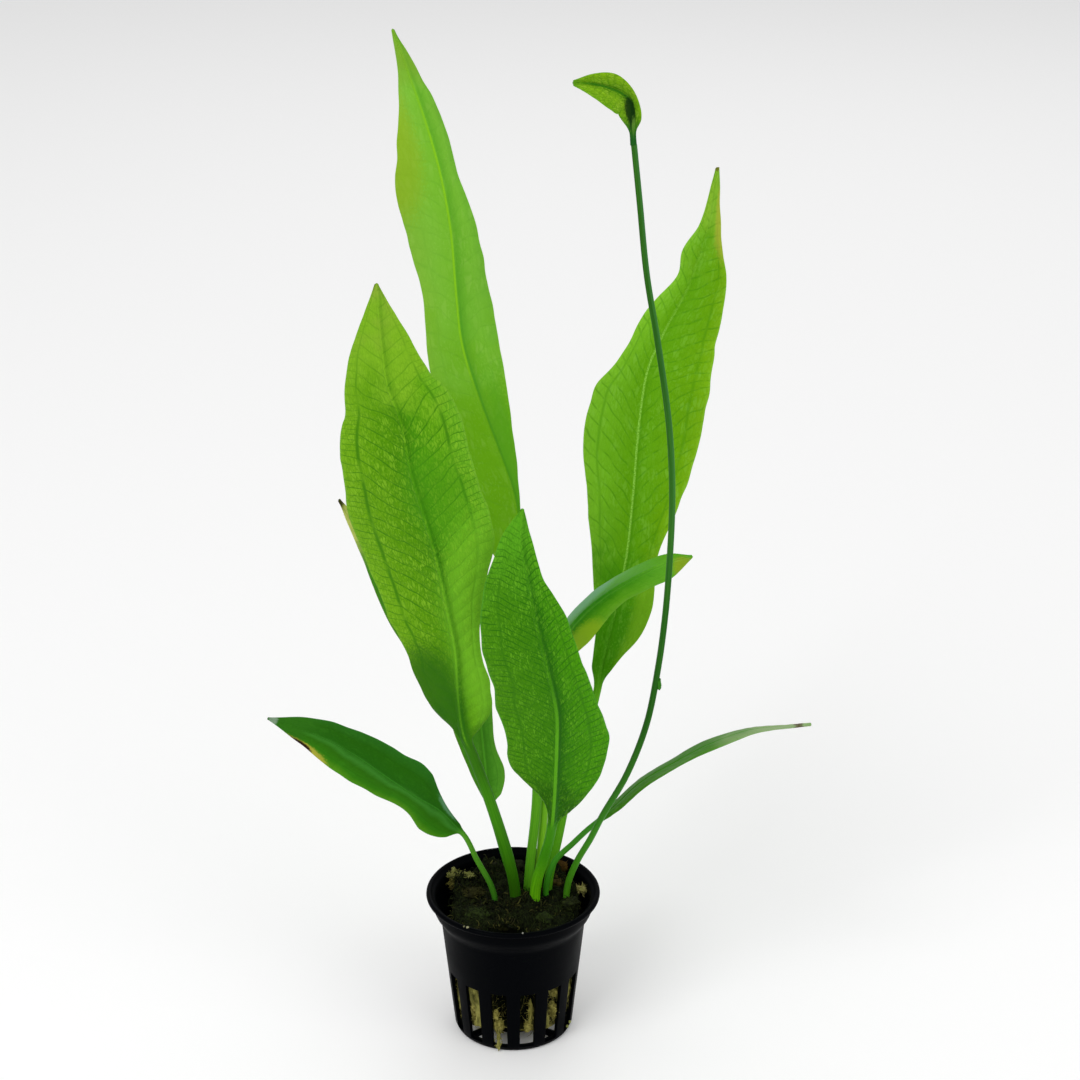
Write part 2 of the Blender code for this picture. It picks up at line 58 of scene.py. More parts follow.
POT_WALL = 1.1
FLOOR_THICKNESS = 1.3
WALL_FOOT_RADIUS = 18.3
FOOT_RADIUS = 17.1
FOOT_ROUNDING = 1.1
INNER_FOOT_RADIUS = 16.3
INNER_FOOT_ROUNDING = (0.6, 0.4)
SHOULDER_HEIGHT = 36.8
SHOULDER_RADIUS = 22.2
FLARE_START = 0.3
FLARE_HEIGHT = 4.8
FLARE_REACH = 2.3
COLLAR_TAPER = 0.09
COLLAR_TOP = 44.6
SLOT_FOOT = 1.6
SLOT_TOP = 21.5
SLOT_COUNT = 14
SLOT_ARC = 13.8
SLOT_TURN = 0.5
FLOOR_CENTRE = 4.0
FLOOR_SLOT_INNER = 8.0
FLOOR_SLOT_OUTER = 16.0
FLOOR_SLOT_ARC = 43.0
ROUNDED_EDGE = 0.14
SHARP_ANGLE = math.radians(50)
BLACK_PLASTIC = "#010204"
BLACK_PLASTIC_WORN = "#06080B"
RGBA = {"data_type": "RGBA"}


def linear(code):
    """The linear colour, with alpha, of an sRGB hex code."""
    value = np.array([int(code[i:i + 2], 16) for i in (1, 3, 5)]) / 255
    value = np.where(value <= 0.04045, value / 12.92, ((value + 0.055) / 1.055) ** 2.4)
    return (*value, 1.0)


def feed(node, *values, **named):
    """Gives a node's inputs their values, in order or by name. A value is a number, a vector, an sRGB
    hex code, or the output that feeds the input."""
    pairs = list(zip([socket for socket in node.inputs if socket.enabled], values))
    pairs += [(node.inputs[key.replace("_", " ")], value) for key, value in named.items()]
    for socket, value in pairs:
        if isinstance(value, bpy.types.NodeSocket):
            node.id_data.links.new(value, socket)
        else:
            socket.default_value = linear(value) if isinstance(value, str) else value


def add(tree, kind, *values, out=None, stops=(), **named):
    """The output of a new node: the named one, or else its first.

    Names in lower case are the node's settings, and the others its inputs. stops are the places and the
    colours of a ramp.
    """
    node = tree.nodes.new("ShaderNode" + kind)
    for key in filter(str.islower, named):
        setattr(node, key, named[key])
    feed(node, *values, **{key: value for key, value in named.items() if not key.islower()})
    for k, (position, code) in enumerate(stops):
        stop = node.color_ramp.elements[k] if k < 2 else node.color_ramp.elements.new(1.0)
        stop.position, stop.color = position, linear(code)
    return node.outputs[out] if out else next(socket for socket in node.outputs if socket.enabled)


def new_material(name):
    """A material, the function that adds a node to it, and its Principled shader."""
    material = bpy.data.materials.new(name)
    material.use_nodes = True
    tree = material.node_tree
    return material, partial(add, tree), tree.nodes["Principled BSDF"]


def put_mesh(name, points, face_sets, material, **values):
    """A smooth mesh object at the origin, in the scene.

    points are in millimetres. Each face set is an array of corner numbers, one row to a face. values
    become attributes of the points. Faces are turned round as one if the volume comes out negative.
    """
    volume = 0.0
    for faces in face_sets:
        for k in range(1, faces.shape[1] - 1):
            a, b, c = points[faces[:, 0]], points[faces[:, k]], points[faces[:, k + 1]]
            volume += np.einsum("ij,ij->", a, np.cross(b, c))
    if volume < 0:
        face_sets = [faces[:, ::-1] for faces in face_sets]
    mesh = bpy.data.meshes.new(name)
    corners = np.concatenate([faces.ravel() for faces in face_sets])
    sizes = np.concatenate([np.full(len(faces), faces.shape[1]) for faces in face_sets])
    mesh.vertices.add(len(points))
    mesh.loops.add(len(corners))
    mesh.polygons.add(len(sizes))
    mesh.vertices.foreach_set("co", (points * MM).astype(np.float32).ravel())
    mesh.loops.foreach_set("vertex_index", corners.astype(np.int32))
    mesh.polygons.foreach_set("loop_start", (np.cumsum(sizes) - sizes).astype(np.int32))
    mesh.update(calc_edges=True)
    mesh.validate()
    for key, value in values.items():
        mesh.attributes.new(key, "FLOAT", "POINT").data.foreach_set("value", value.astype(np.float32))
    mesh.shade_smooth()
    mesh.materials.append(material)
    piece = bpy.data.objects.new(name, mesh)
    bpy.context.scene.collection.objects.link(piece)
    return piece


def join_part(piece, node=None):
    """The piece rides on the part's one body, and may stand for a solid, whose own mesh is then hidden."""
    if node:
        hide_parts(node)
    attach(piece, "root")


def smooth_step(share):
    """0 below 0, 1 above 1, and 3x^2 - 2x^3 between."""
    share = np.clip(share, 0, 1)
    return share * share * (3 - 2 * share)


def spun(angle):
    """x and y of the directions at the angles."""
    return np.stack([np.cos(angle), np.sin(angle)], axis=-1)


def raised(flat, height):
    """Points from their x and y and their heights."""
    return np.concatenate([flat, np.broadcast_to(height, flat.shape[:-1])[..., None]], axis=-1)


def taper(z):
    """The outside of the pot's wall: a straight taper up to the shoulder, and straight up above it."""
    widening = (SHOULDER_RADIUS - WALL_FOOT_RADIUS) * np.minimum(z, SHOULDER_HEIGHT) / SHOULDER_HEIGHT
    return WALL_FOOT_RADIUS + widening


def wall_radius(z):
    """The outside of the pot's wall at height z: the taper, a smooth flare, and a straight collar."""
    flare = FLARE_REACH * smooth_step((z - SHOULDER_HEIGHT - FLARE_START) / FLARE_HEIGHT)
    return taper(z) + flare + COLLAR_TAPER * np.maximum(z - SHOULDER_HEIGHT - FLARE_HEIGHT, 0)


def pot_profile():
    """Rows of the outside and the inside of the pot as (radius, height), and the rows of each kind of slot.

    They run out under the floor, round the foot, up the wall and over the lip. The foot and the lip
    are arcs of a circle.
    """
    floor = np.concatenate([[0.0, FLOOR_CENTRE], np.linspace(FLOOR_SLOT_INNER, FLOOR_SLOT_OUTER, 6)])
    turn = np.linspace(0, 0.9, 4)
    bend, lift = np.sin(turn), 1 - np.cos(turn)
    foot_out = np.column_stack([FOOT_RADIUS + FOOT_ROUNDING * bend, FOOT_ROUNDING * lift])
    foot_in = np.column_stack([
        INNER_FOOT_RADIUS + INNER_FOOT_ROUNDING[0] * bend, FLOOR_THICKNESS + INNER_FOOT_ROUNDING[1] * lift,
    ])
    slot = np.linspace(SLOT_FOOT, SLOT_TOP, 12)
    wall = np.concatenate([slot, np.linspace(SLOT_TOP, COLLAR_TOP, 30)[1:]])
    outside = np.column_stack([wall_radius(wall), wall])
    inside = np.column_stack([wall_radius(wall) - POT_WALL, wall])
    middle = LIP_RADIUS - LIP_THICKNESS / 2
    up = np.linspace(0, 1, 9)
    roll = -0.45 * math.pi + up * 0.9 * math.pi
    lip_out = np.column_stack([
        middle + LIP_THICKNESS / 2 * np.cos(roll), POT_HEIGHT - LIP_ROUNDING + LIP_ROUNDING * np.sin(roll),
    ])
    widening = (middle - LIP_THICKNESS / 2 - inside[-1, 0]) * smooth_step(up * 1.3)
    lip_in = np.column_stack([
        inside[-1, 0] + 0.15 + widening + 0.5 * up**4,
        COLLAR_TOP + 0.2 + (POT_HEIGHT - COLLAR_TOP - 0.25) * up ** 0.8,
    ])
    outer = np.vstack([np.column_stack([floor, floor * 0]), foot_out, outside, lip_out])
    inner = np.vstack([np.column_stack([floor, floor * 0 + FLOOR_THICKNESS]), foot_in, inside, lip_in])
    wall_start = len(floor) + len(turn)
    return outer, inner, (2, len(floor) - 1), (wall_start, wall_start + len(slot) - 1)


def pot_columns():
    """Angles of the columns in degrees from the front, with edges at the sides of every slot."""
    pair = 720 / SLOT_COUNT
    rib = pair / 4 - SLOT_ARC / 2
    floor_rib = (pair - FLOOR_SLOT_ARC) / 2
    second = pair / 2 + rib
    edges = [0, floor_rib, rib, rib + SLOT_ARC, second, second + SLOT_ARC, pair - floor_rib, pair]
    steps = [3, 1, 8, 6, 8, 1, 3]
    one = np.concatenate([
        np.linspace(start, end, count, endpoint=False) for start, end, count in zip(edges, edges[1:], steps)
    ])
    return np.concatenate([one + k * pair for k in range(SLOT_COUNT // 2)]) + SLOT_TURN


def make_pot(material):
    """The pot: the outer and the inner grid of its profile turned round, with the cells of the slots left
    out and a wall round each gap and over the lip."""
    outer, inner, floor_rows, wall_rows = pot_profile()
    angle = np.radians(pot_columns() - 90)
    spin = spun(angle)
    rows, columns = len(outer), len(angle)
    grids = [raised(profile[:, None, :1] * spin, profile[:, 1:]) for profile in (outer, inner)]
    middle = np.degrees(angle + np.diff(np.append(angle, angle[0] + 2 * math.pi)) / 2) + 90 - SLOT_TURN
    row = np.arange(rows - 1)[:, None]
    keep = np.ones((rows - 1, columns), bool)
    for pitch, arc, (first, last) in (
        (360 / SLOT_COUNT, SLOT_ARC, wall_rows), (720 / SLOT_COUNT, FLOOR_SLOT_ARC, floor_rows),
    ):
        from_slot = np.abs((middle / pitch) % 1 - 0.5) * pitch
        keep &= ~((row >= first) & (row < last) & (from_slot < arc / 2)[None])

    number = np.arange(rows * columns).reshape(rows, columns)
    after = np.roll(number, -1, axis=1)
    a, b, c, d = number[:-1], after[:-1], after[1:], number[1:]
    shift = rows * columns
    faces = [np.stack([a, b, c, d], axis=-1)[keep], np.stack([d, c, b, a], axis=-1)[keep] + shift]
    below = np.vstack([np.ones((1, columns), bool), keep[:-1]])
    above = np.vstack([keep[1:], np.zeros((1, columns), bool)])
    left, right = np.roll(keep, 1, axis=1), np.roll(keep, -1, axis=1)
    for start, end, neighbour in ((a, b, below), (b, c, right), (c, d, above), (d, a, left)):
        edge = keep & ~neighbour
        faces.append(np.stack([end[edge], start[edge], start[edge] + shift, end[edge] + shift], axis=-1))
    points = np.concatenate([grid.reshape(-1, 3) for grid in grids])
    used, packed = np.unique(np.concatenate([f.ravel() for f in faces]), return_inverse=True)
    pot = put_mesh("pot", points[used], [packed.reshape(-1, 4)], material)
    bm = bmesh.new()
    bm.from_mesh(pot.data)
    bmesh.ops.remove_doubles(bm, verts=bm.verts[:], dist=0.01 * MM)
    bmesh.ops.recalc_face_normals(bm, faces=bm.faces[:])
    bm.to_mesh(pot.data)
    bm.free()
    pot.data.set_sharp_from_angle(angle=SHARP_ANGLE)
    rounding = pot.modifiers.new("rounded_edges", "BEVEL")
    rounding.width = ROUNDED_EDGE * MM
    rounding.segments = 2
    rounding.limit_method = "ANGLE"
    rounding.angle_limit = SHARP_ANGLE
    return pot


def moulded_polypropylene():
    """Black polypropylene, injection moulded: satin, with a faint cloudiness and fine scuffs from handling.
    Noise scales are per metre, so the clouds are about 11 mm across and the scuffs 2.4 mm."""
    material, node, shader = new_material("moulded_black_polypropylene")
    place = node("TexCoord", out="Object")
    cloud = node("TexNoise", place, 90.0, 4.0)
    around = node("Mapping", place, Scale=(1.0, 1.0, 7.0))
    scuff = node("TexNoise", around, 420.0, 3.0)
    scuffed = node("MapRange", scuff, 0.62, 0.74, 0.0, 0.8)
    colour = node("Mix", scuffed, BLACK_PLASTIC, BLACK_PLASTIC_WORN, **RGBA)
    satin = node("MapRange", cloud, 0.3, 0.7, 0.36, 0.52)
    grain = node("Bump", Strength=0.12, Distance=0.0002, Height=scuff)
    feed(shader, Base_Color=colour, Roughness=satin, Normal=grain, Specular_IOR_Level=0.02)
    return material


join_part(make_pot(moulded_polypropylene()), "net_pot")


# The growing wool is a plug of matted mineral fibre, cut flat on its left side. Water has stained it
# olive, and dark moss has grown over its top. It lies loose in the pot.
WOOL_FOOT = 4.5
WOOL_TOP = 41.0
WOOL_SIDE_TOP = 39.0
WOOL_CLEARANCE = 0.6
WOOL_FLATS = ((180, 19.0), (222, 20.5))
WOOL_LUMPS = [
    (-18.0, 10.0, 4.5, 3.2), (-7.5, 16.5, 4.5, 4.0), (14.5, 16.0, 4.5, 3.6), (20.0, 7.0, 2.5, 3.0),
    (3.0, -1.0, 4.4, 6.0),
]
HOLLOW_HEADINGS = (4.70, 4.64)
HOLLOW_HALF_ANGLES = (0.42, 0.52)
HOLLOW_DEPTH = 8.0
HOLLOW_FOOT = 2.0
HOLLOW_FULL = 9.0
CROWN_CENTRE = np.array([5.4, 2.4])
CROWN_REACH = np.array([13.0, 8.2])
CROWN_TOP = 42.2
WOOL_COLUMNS = 300
UNDER_ROWS = 14
SIDE_ROWS = 90
TOP_ROWS = 46
OVER_ROWS = 26
CLUMP_SIZE, CLUMP_SEED = 4.6, 4
MAT_SIZE, MAT_SEED = 2.6, 5
FUZZ_SIZE, FUZZ_SEED = 0.9, 6
CURL_SIZE, CURL_SEED = 1.9, 7
WOOL_STAINS = [(0.32, "#3B3A18"), (0.5, "#8A8746"), (0.72, "#A9A35E")]
MOSS_DARK = "#090C05"
MOSS_OLIVE = "#232C10"
# Near black, painted as shade in the plug's pits and in the gaps between the curls on top.
GAP_PAINTED_SHADE = "#080A04"


def evenly_round(count):
    """That many angles, evenly round a circle."""
    return np.arange(count) / count * 2 * math.pi


def unit(vectors):
    """The vectors, each made one long."""
    return vectors / np.linalg.norm(vectors, axis=-1, keepdims=True)


def rough(points, size, seed):
    """Smooth noise, -1 to 1: random values on a lattice of the given size, blended in each cell between
    its eight corners by the smooth step of the place in the cell."""
    table = np.random.default_rng(seed).uniform(-1, 1, 8192)
    cell = points / size
    low = np.floor(cell).astype(np.int64)
    t = smooth_step(cell - low)
    total = 0.0
    for corner in np.ndindex(2, 2, 2):
        at = low + corner
        index = (at[..., 0] * 73856093 ^ at[..., 1] * 19349663 ^ at[..., 2] * 83492791) % len(table)
        total = total + np.prod(np.where(corner, t, 1 - t), axis=-1) * table[index]
    return total


def hollow_share(angle, z):
    """How deep the plug's front is sunk, 0 to 1: a rounded step across, from above the foot up. Its
    heading and its half width change above the slots."""
    up = smooth_step((z - SLOT_TOP) / 8)
    heading = HOLLOW_HEADINGS[0] + (HOLLOW_HEADINGS[1] - HOLLOW_HEADINGS[0]) * up
    half = HOLLOW_HALF_ANGLES[0] + (HOLLOW_HALF_ANGLES[1] - HOLLOW_HALF_ANGLES[0]) * up
    rise = smooth_step((z - HOLLOW_FOOT) / (HOLLOW_FULL - HOLLOW_FOOT))
    return np.exp(-(((angle - heading) / half) ** 4)) * rise


def wool_reach(angle, z):
    """The plug's reach from the axis: the pot's inside less the clearance, cut flat on the left by two
    planes, and sunk at the front."""
    reach = np.broadcast_to(taper(z) - POT_WALL - WOOL_CLEARANCE, np.broadcast(angle, z).shape)
    for heading, flat in WOOL_FLATS:
        facing = np.cos(angle - math.radians(heading))
        reach = np.where(facing > 0.3, np.minimum(reach, flat / np.maximum(facing, 0.3)), reach)
    return reach - HOLLOW_DEPTH * hollow_share(angle, z)


def wool_height(place):
    """The height of the plug's top: higher at the back, with separate lumps of bell shape."""
    x, y = place[..., 0], place[..., 1]
    height = WOOL_TOP + 2.0 * smooth_step((y + 2) / 16)
    for lump_x, lump_y, rise, spread in WOOL_LUMPS:
        height = height + rise * np.exp(-((x - lump_x) ** 2 + (y - lump_y) ** 2) / (2 * spread**2))
    return height


def ring_faces(rows, around):
    """Quads over rows of points that close round, and a fan that closes each end on one more point."""
    number = np.arange(rows * around).reshape(rows, around)
    after = np.roll(number, -1, axis=1)
    quads = np.stack([number[:-1], after[:-1], after[1:], number[1:]], axis=-1).reshape(-1, 4)
    foot = np.stack([after[0], number[0], np.full(around, rows * around)], axis=-1)
    tip = np.stack([number[-1], after[-1], np.full(around, rows * around + 1)], axis=-1)
    return [quads, np.concatenate([foot, tip])]


def by_part(under, side, top):
    """A value for each row of the plug, from those for the rows under it, up its side and over its top."""
    counts = (UNDER_ROWS, SIDE_ROWS, TOP_ROWS + OVER_ROWS)
    parts = [np.broadcast_to(part, count) for part, count in zip((under, side, top), counts)]
    return np.concatenate(parts)[:, None]


def wool_body():
    """Rows of points up the plug's side and in over its top, where moss covers the crown too. They are
    pushed out and in by noise of four sizes, one of them folded into ridges. Also how mossy each point
    is, and how deep it lies in a gap, which sets the painted shade there."""
    angle = evenly_round(WOOL_COLUMNS)
    spin = spun(angle)
    side = np.linspace(WOOL_FOOT + 0.4, WOOL_SIDE_TOP, SIDE_ROWS)[:, None]
    reach = wool_reach(angle[None], side)
    below = np.linspace(0.25, 0.97, UNDER_ROWS)[:, None, None] * (reach[0][:, None] * spin)
    rim = reach[-1][:, None] * spin
    pocket = CROWN_CENTRE + spin * (CROWN_REACH + 0.3)
    share = np.linspace(0.03, 1, TOP_ROWS)[:, None, None] ** 0.9
    flat = rim * (1 - share) + pocket * share
    drop = 2.2 * (1 - smooth_step(share[..., 0] / 0.12))
    over = CROWN_CENTRE + spin * (CROWN_REACH + 0.3) * np.linspace(0.96, 0.03, OVER_ROWS)[:, None, None]
    rows = np.concatenate([
        raised(below, WOOL_FOOT),
        raised(reach[..., None] * spin, side),
        raised(flat, wool_height(flat) - drop),
        raised(over, wool_height(over)),
    ])
    on_foot = by_part(np.linspace(0.3, 1, UNDER_ROWS), np.linspace(1, 0, SIDE_ROWS) ** 3, 0.0)
    on_side = by_part(0.0, 1.0, 0.0)
    on_top = by_part(0.0, np.linspace(0, 1, SIDE_ROWS) ** 6, 1.0)
    clump = rough(rows * (1, 1, 0.55), CLUMP_SIZE, CLUMP_SEED)
    mat = rough(rows * (1, 1, 0.45), MAT_SIZE, MAT_SEED)
    fuzz = rough(rows * (1, 1, 0.6), FUZZ_SIZE, FUZZ_SEED)
    curls = 1 - 2.4 * np.abs(rough(rows, CURL_SIZE, CURL_SEED))
    push = on_side * (0.35 + 1.5 * np.minimum(clump, 0.1) + 0.9 * mat + 0.4 * fuzz - 0.5)
    push = np.minimum(push, 0.35)
    sunk = hollow_share(angle[None], rows[..., 2]) * (on_side > 0)
    rows = rows + raised(unit(rows[..., :2]), 0.0) * push[..., None]
    lift = on_top * (0.9 * curls + 1.1 * clump + 0.7 * mat + 0.35 * fuzz)
    rows[..., 2] += lift + on_foot * (0.5 + 1.1 * clump + 0.6 * mat)
    ends = np.array([[0, 0, WOOL_FOOT + 0.6], rows[-1].mean(axis=0)])
    moss = np.maximum(smooth_step((rows[..., 2] - 33 + 3 * mat) / 7), smooth_step(1.7 * sunk + 0.25 * mat))
    # How much painted shade each point gets: where it is pushed deep into the side, and in the gaps between
    # the curls on top.
    side_gap_shade = on_side * smooth_step(-(push + 0.05) / 0.9)
    top_gap_shade = on_top * smooth_step(-(curls + 0.8 * clump) * 0.9)
    values = {"moss": np.append(moss, [0, 1]), "gap": np.append(np.maximum(side_gap_shade, top_gap_shade), [0, 0])}
    return np.concatenate([rows.reshape(-1, 3), ends]), ring_faces(len(rows), WOOL_COLUMNS), values


def stained_wool():
    """Damp mineral wool: dull matted fibre in olive and straw, with painted shade darkening its hollows,
    and nearly black where moss covers it. The attributes moss and gap say how mossy a place is and how deep
    it lies, and so how much painted shade it gets. Its clumps are about 2.6 mm across and its fibres 0.5
    mm, coarser than real ones, so that they show."""
    material, node, shader = new_material("stained_growing_wool")
    place = node("TexCoord", out="Object")
    moss = node("Attribute", attribute_name="moss", out="Fac")
    stretched = node("Mapping", place, Scale=(1.0, 1.0, 0.35))
    clump = node("TexNoise", stretched, 380.0, 5.0, 0.65)
    fibre = node("TexNoise", stretched, 1900.0, 3.0)
    wool = node("ValToRGB", clump, stops=WOOL_STAINS)
    green = node("MapRange", fibre, 0.4, 0.75, 0.0, 1.0)
    mossy = node("Mix", green, MOSS_DARK, MOSS_OLIVE, **RGBA)
    colour = node("Mix", moss, wool, mossy, **RGBA)
    # Painted shade: the deeper a place lies in a gap, the nearer to black it is made.
    gap = node("Attribute", attribute_name="gap", out="Fac")
    colour = node("Mix", gap, colour, GAP_PAINTED_SHADE, **RGBA)
    bump = node("Bump", Strength=0.6, Distance=0.0004, Height=fibre)
    feed(shader, Base_Color=colour, Normal=bump, Roughness=0.95, Specular_IOR_Level=0.06)
    return material


wool_points, wool_faces, wool_values = wool_body()
wool = put_mesh("growing_wool_plug", wool_points, wool_faces, stained_wool(), **wool_values)
join_part(wool, "growing_wool")


# Loose fibres stand out of the plug's side, and curled moss strands and crumbs cover its top. Pale
# scraps of bare wool and rough clods lie on top near the pot's wall. Strips, clumps and a torn scrap of
# bare wool fill the slots at the front.
SIDE_FIBRES = 2600
FIBRE_RADIUS = 0.09
FIBRE_LENGTHS = (1.2, 3.6)
FIBRE_CURLS = (0.4, 2.2)
FIBRE_RISE = 31
FIBRE_LEAN = 0.45
WALL_GAP = 0.1
MOSS_STRANDS = 2400
MOSS_RADIUS = 0.14
THICK_MOSS_STRANDS = 900
THICK_MOSS_RADIUS = 0.27
MOSS_LENGTHS = (1.2, 3.2)
MOSS_CURLS = (1.0, 4.2)
MOSS_DEPTH = 0.6
FIBRE_COLOURS = ("#5E5A28", "#A29C58")
MOSS_COLOURS = ("#0A0E06", "#2E3814")
THICK_MOSS_COLOURS = ("#12140A", "#4C4C22")
CLODS = [
    ("scrap_left", (-16.6, 11.6, 45.2), (4.2, 1.5, 0.9), "#6A6C30", "#A6A866", 150),
    ("scrap_left_spike", (-18.6, 12.2, 46.2), (0.6, 0.6, 1.5), "#7A7C3C", "#B0B070", 30),
    ("scrap_left_low", (-19.0, 9.6, 43.2), (1.2, 2.2, 1.5), "#3A3616", "#6E6A30", 60),
    ("scrap_grey_edge", (-5.2, 13.2, 44.4), (2.6, 1.0, 0.6), "#4A4C22", "#6E7234", 50),
    ("scrap_right", (21.0, 6.4, 43.0), (2.3, 1.3, 1.0), "#77773C", "#B4AE6C", 90),
    ("clod_grey", (-6.4, 15.9, 44.2), (3.4, 2.4, 2.6), "#191A12", "#3A3B26", 150),
    ("clod_russet", (13.6, 16.4, 45.4), (3.1, 2.2, 2.3), "#332408", "#4E380E", 90),
    ("clod_olive", (13.6, 12.4, 44.0), (3.0, 1.8, 1.5), "#302C10", "#625A28", 90),
    ("clod_brown", (13.0, 8.8, 43.6), (2.6, 1.8, 1.4), "#241C0A", "#4A4018", 90),
    ("clod_back", (0.5, 18.2, 44.2), (3.4, 1.8, 2.2), "#11130C", "#2A2E18", 120),
    ("clod_right", (17.6, -1.2, 42.6), (2.9, 2.4, 1.9), "#10140A", "#353E18", 150),
    ("clod_left", (-12.5, 6.0, 42.4), (4.0, 2.6, 1.6), "#171809", "#3C3C18", 150),
    ("clod_front_left", (-11.0, -6.5, 41.8), (3.4, 2.6, 1.7), "#10160A", "#36441A", 150),
    ("clod_front", (2.4, -7.8, 41.6), (2.8, 2.2, 1.8), "#10160A", "#3A4A1C", 140),
    ("clod_front_right", (9.8, -8.6, 41.6), (3.2, 2.4, 1.8), "#10160A", "#364418", 140),
    ("slot_scrap_top", (-5.3, -16.6, 12.2), (1.1, 0.7, 1.7), "#6A6426", "#B0A85C", 40),
    ("slot_scrap_middle", (-4.5, -16.8, 8.4), (1.5, 0.8, 2.4), "#5C5824", "#A8A056", 60),
    ("slot_scrap_low", (-4.4, -17.3, 5.0), (0.6, 0.5, 1.8), "#5C5A26", "#A09C56", 20),
    ("slot_scrap_end", (-4.5, -18.2, 2.4), (0.5, 0.35, 1.9), "#6A6830", "#A8A45E", 12),
    ("slot_strip_right", (5.4, -16.5, 13.0), (0.7, 0.7, 4.6), "#5A5622", "#A09A50", 50),
    ("slot_clump_left_top", (-12.6, -12.3, 18.6), (1.0, 0.9, 1.8), "#5C5824", "#B4AC62", 40),
    ("slot_clump_left_low", (-11.7, -12.9, 11.2), (1.3, 0.9, 3.0), "#4E4A1C", "#B0A85E", 60),
    ("slot_clump_right_top", (12.4, -12.6, 18.0), (1.3, 0.9, 1.4), "#5C5824", "#A8A056", 40),
    ("slot_clump_right_low", (12.2, -12.6, 11.6), (1.4, 0.9, 2.9), "#4E4A1C", "#A8A056", 60),
    ("slot_strip_right_low", (4.6, -16.6, 8.0), (1.2, 0.7, 2.0), "#5C5824", "#A8A056", 40),
]
CRUMBS = [
    (-13.4, -22.3, 46.8, 0.5, "#8D8C6A"), (-14.5, -21.7, 46.8, 0.35, "#6E6E50"),
    (3.1, -25.7, 47.0, 0.28, "#A5A59A"), (16.8, -9.4, 3.4, 0.5, "#7C8244"),
    (17.6, -8.8, 4.6, 0.45, "#8C9150"),
]


def square_to(heading, seed):
    """For each heading, a random unit vector square to it."""
    return unit(np.cross(heading, np.random.default_rng(seed).normal(size=heading.shape)))


def strands(root, heading, seed, length, curl, radius, tone, steps, sides):
    """Many thin closed strands, as points, faces and the tone of each point.

    A strand is an arc: its place at share t is root + length (heading sin(ct) + bend (1 - cos(ct))) / c,
    where c is its whole curl and bend is square to its heading. Its round section narrows to 0.35 of
    its radius at the tip.
    """
    bend = square_to(heading, seed)
    t = np.linspace(0, 1, steps + 1)
    ct = curl[:, None] * t
    sine, cosine = np.sin(ct)[..., None], np.cos(ct)[..., None]
    h, b = heading[:, None], bend[:, None]
    middle = root[:, None] + (length / curl)[:, None, None] * (h * sine + b * (1 - cosine))
    normal = b * cosine - h * sine
    other = np.cross(heading, bend)[:, None]
    angle = evenly_round(sides)
    thick = (radius[:, None] * (1 - 0.65 * t))[..., None, None]
    ring = normal[:, :, None] * np.cos(angle)[:, None] + other[:, :, None] * np.sin(angle)[:, None]
    points = middle[:, :, None] + thick * ring
    count, rows = points.shape[:2]
    number = np.arange(points.size // 3).reshape(count, rows, sides)
    after = np.roll(number, -1, axis=2)
    quads = np.stack([number[:, :-1], after[:, :-1], after[:, 1:], number[:, 1:]], axis=-1).reshape(-1, 4)
    caps = np.concatenate([number[:, 0, ::-1], number[:, -1]])
    return points.reshape(-1, 3), [quads, caps], np.repeat(tone, rows * sides)


def fibre_material(name, colours):
    """Single fibres: dull, each with its own tone between two colours. The attribute tone holds it."""
    material, node, shader = new_material(name)
    tone = node("Attribute", attribute_name="tone", out="Fac")
    feed(shader, Base_Color=node("Mix", tone, *colours, **RGBA), Roughness=0.85, Specular_IOR_Level=0.08)
    return material


def side_fibres():
    """Fibres that lie along the plug's side, mostly upright, and stand a little off it, but never through
    the pot's wall."""
    rng = np.random.default_rng(11)
    angle = rng.uniform(0, 2 * math.pi, SIDE_FIBRES)
    z = WOOL_FOOT + 1 + rng.uniform(0, 1, SIDE_FIBRES) ** 1.2 * FIBRE_RISE
    out = spun(angle)
    root = raised(out * (wool_reach(angle, z) - 0.5)[:, None], z)
    heading = raised(rng.normal(0, FIBRE_LEAN, (SIDE_FIBRES, 2)), rng.choice([-1, 1], SIDE_FIBRES))
    heading = unit(heading + 0.35 * raised(out, 0.0))
    length = rng.uniform(*FIBRE_LENGTHS, SIDE_FIBRES)
    curl = rng.uniform(*FIBRE_CURLS, SIDE_FIBRES)
    radius = FIBRE_RADIUS * rng.uniform(0.6, 1.4, SIDE_FIBRES)
    tone = rng.uniform(0, 1, SIDE_FIBRES)
    points, faces, tone = strands(root, heading, 12, length, curl, radius, tone, 5, 3)
    inside = wall_radius(points[:, 2]) - POT_WALL - WALL_GAP
    points[:, :2] *= np.minimum(1, inside / np.hypot(points[:, 0], points[:, 1]))[:, None]
    return points, faces, tone


def moss_strands(count, radius, seed):
    """Short tightly curled strands all over the plug's top and over the crown between the stalks."""
    rng = np.random.default_rng(seed)
    angle = rng.uniform(0, 2 * math.pi, count)
    reach = wool_reach(angle, np.full(count, WOOL_SIDE_TOP)) * np.sqrt(rng.uniform(0, 1, count))
    flat = reach[:, None] * spun(angle)
    place = raised(flat, wool_height(flat) - MOSS_DEPTH)
    place[:, 2] += 0.8 * rough(place, CLUMP_SIZE, CLUMP_SEED)
    heading = unit(raised(rng.normal(0, 1, (count, 2)), rng.uniform(0.1, 1.4, count)))
    length = rng.uniform(*MOSS_LENGTHS, count)
    curl = rng.uniform(*MOSS_CURLS, count)
    thick = radius * rng.uniform(0.6, 1.5, count)
    tone = rng.uniform(0, 1, count) ** 2.2
    return strands(place, heading, seed + 1, length, curl, thick, tone, 6, 4)


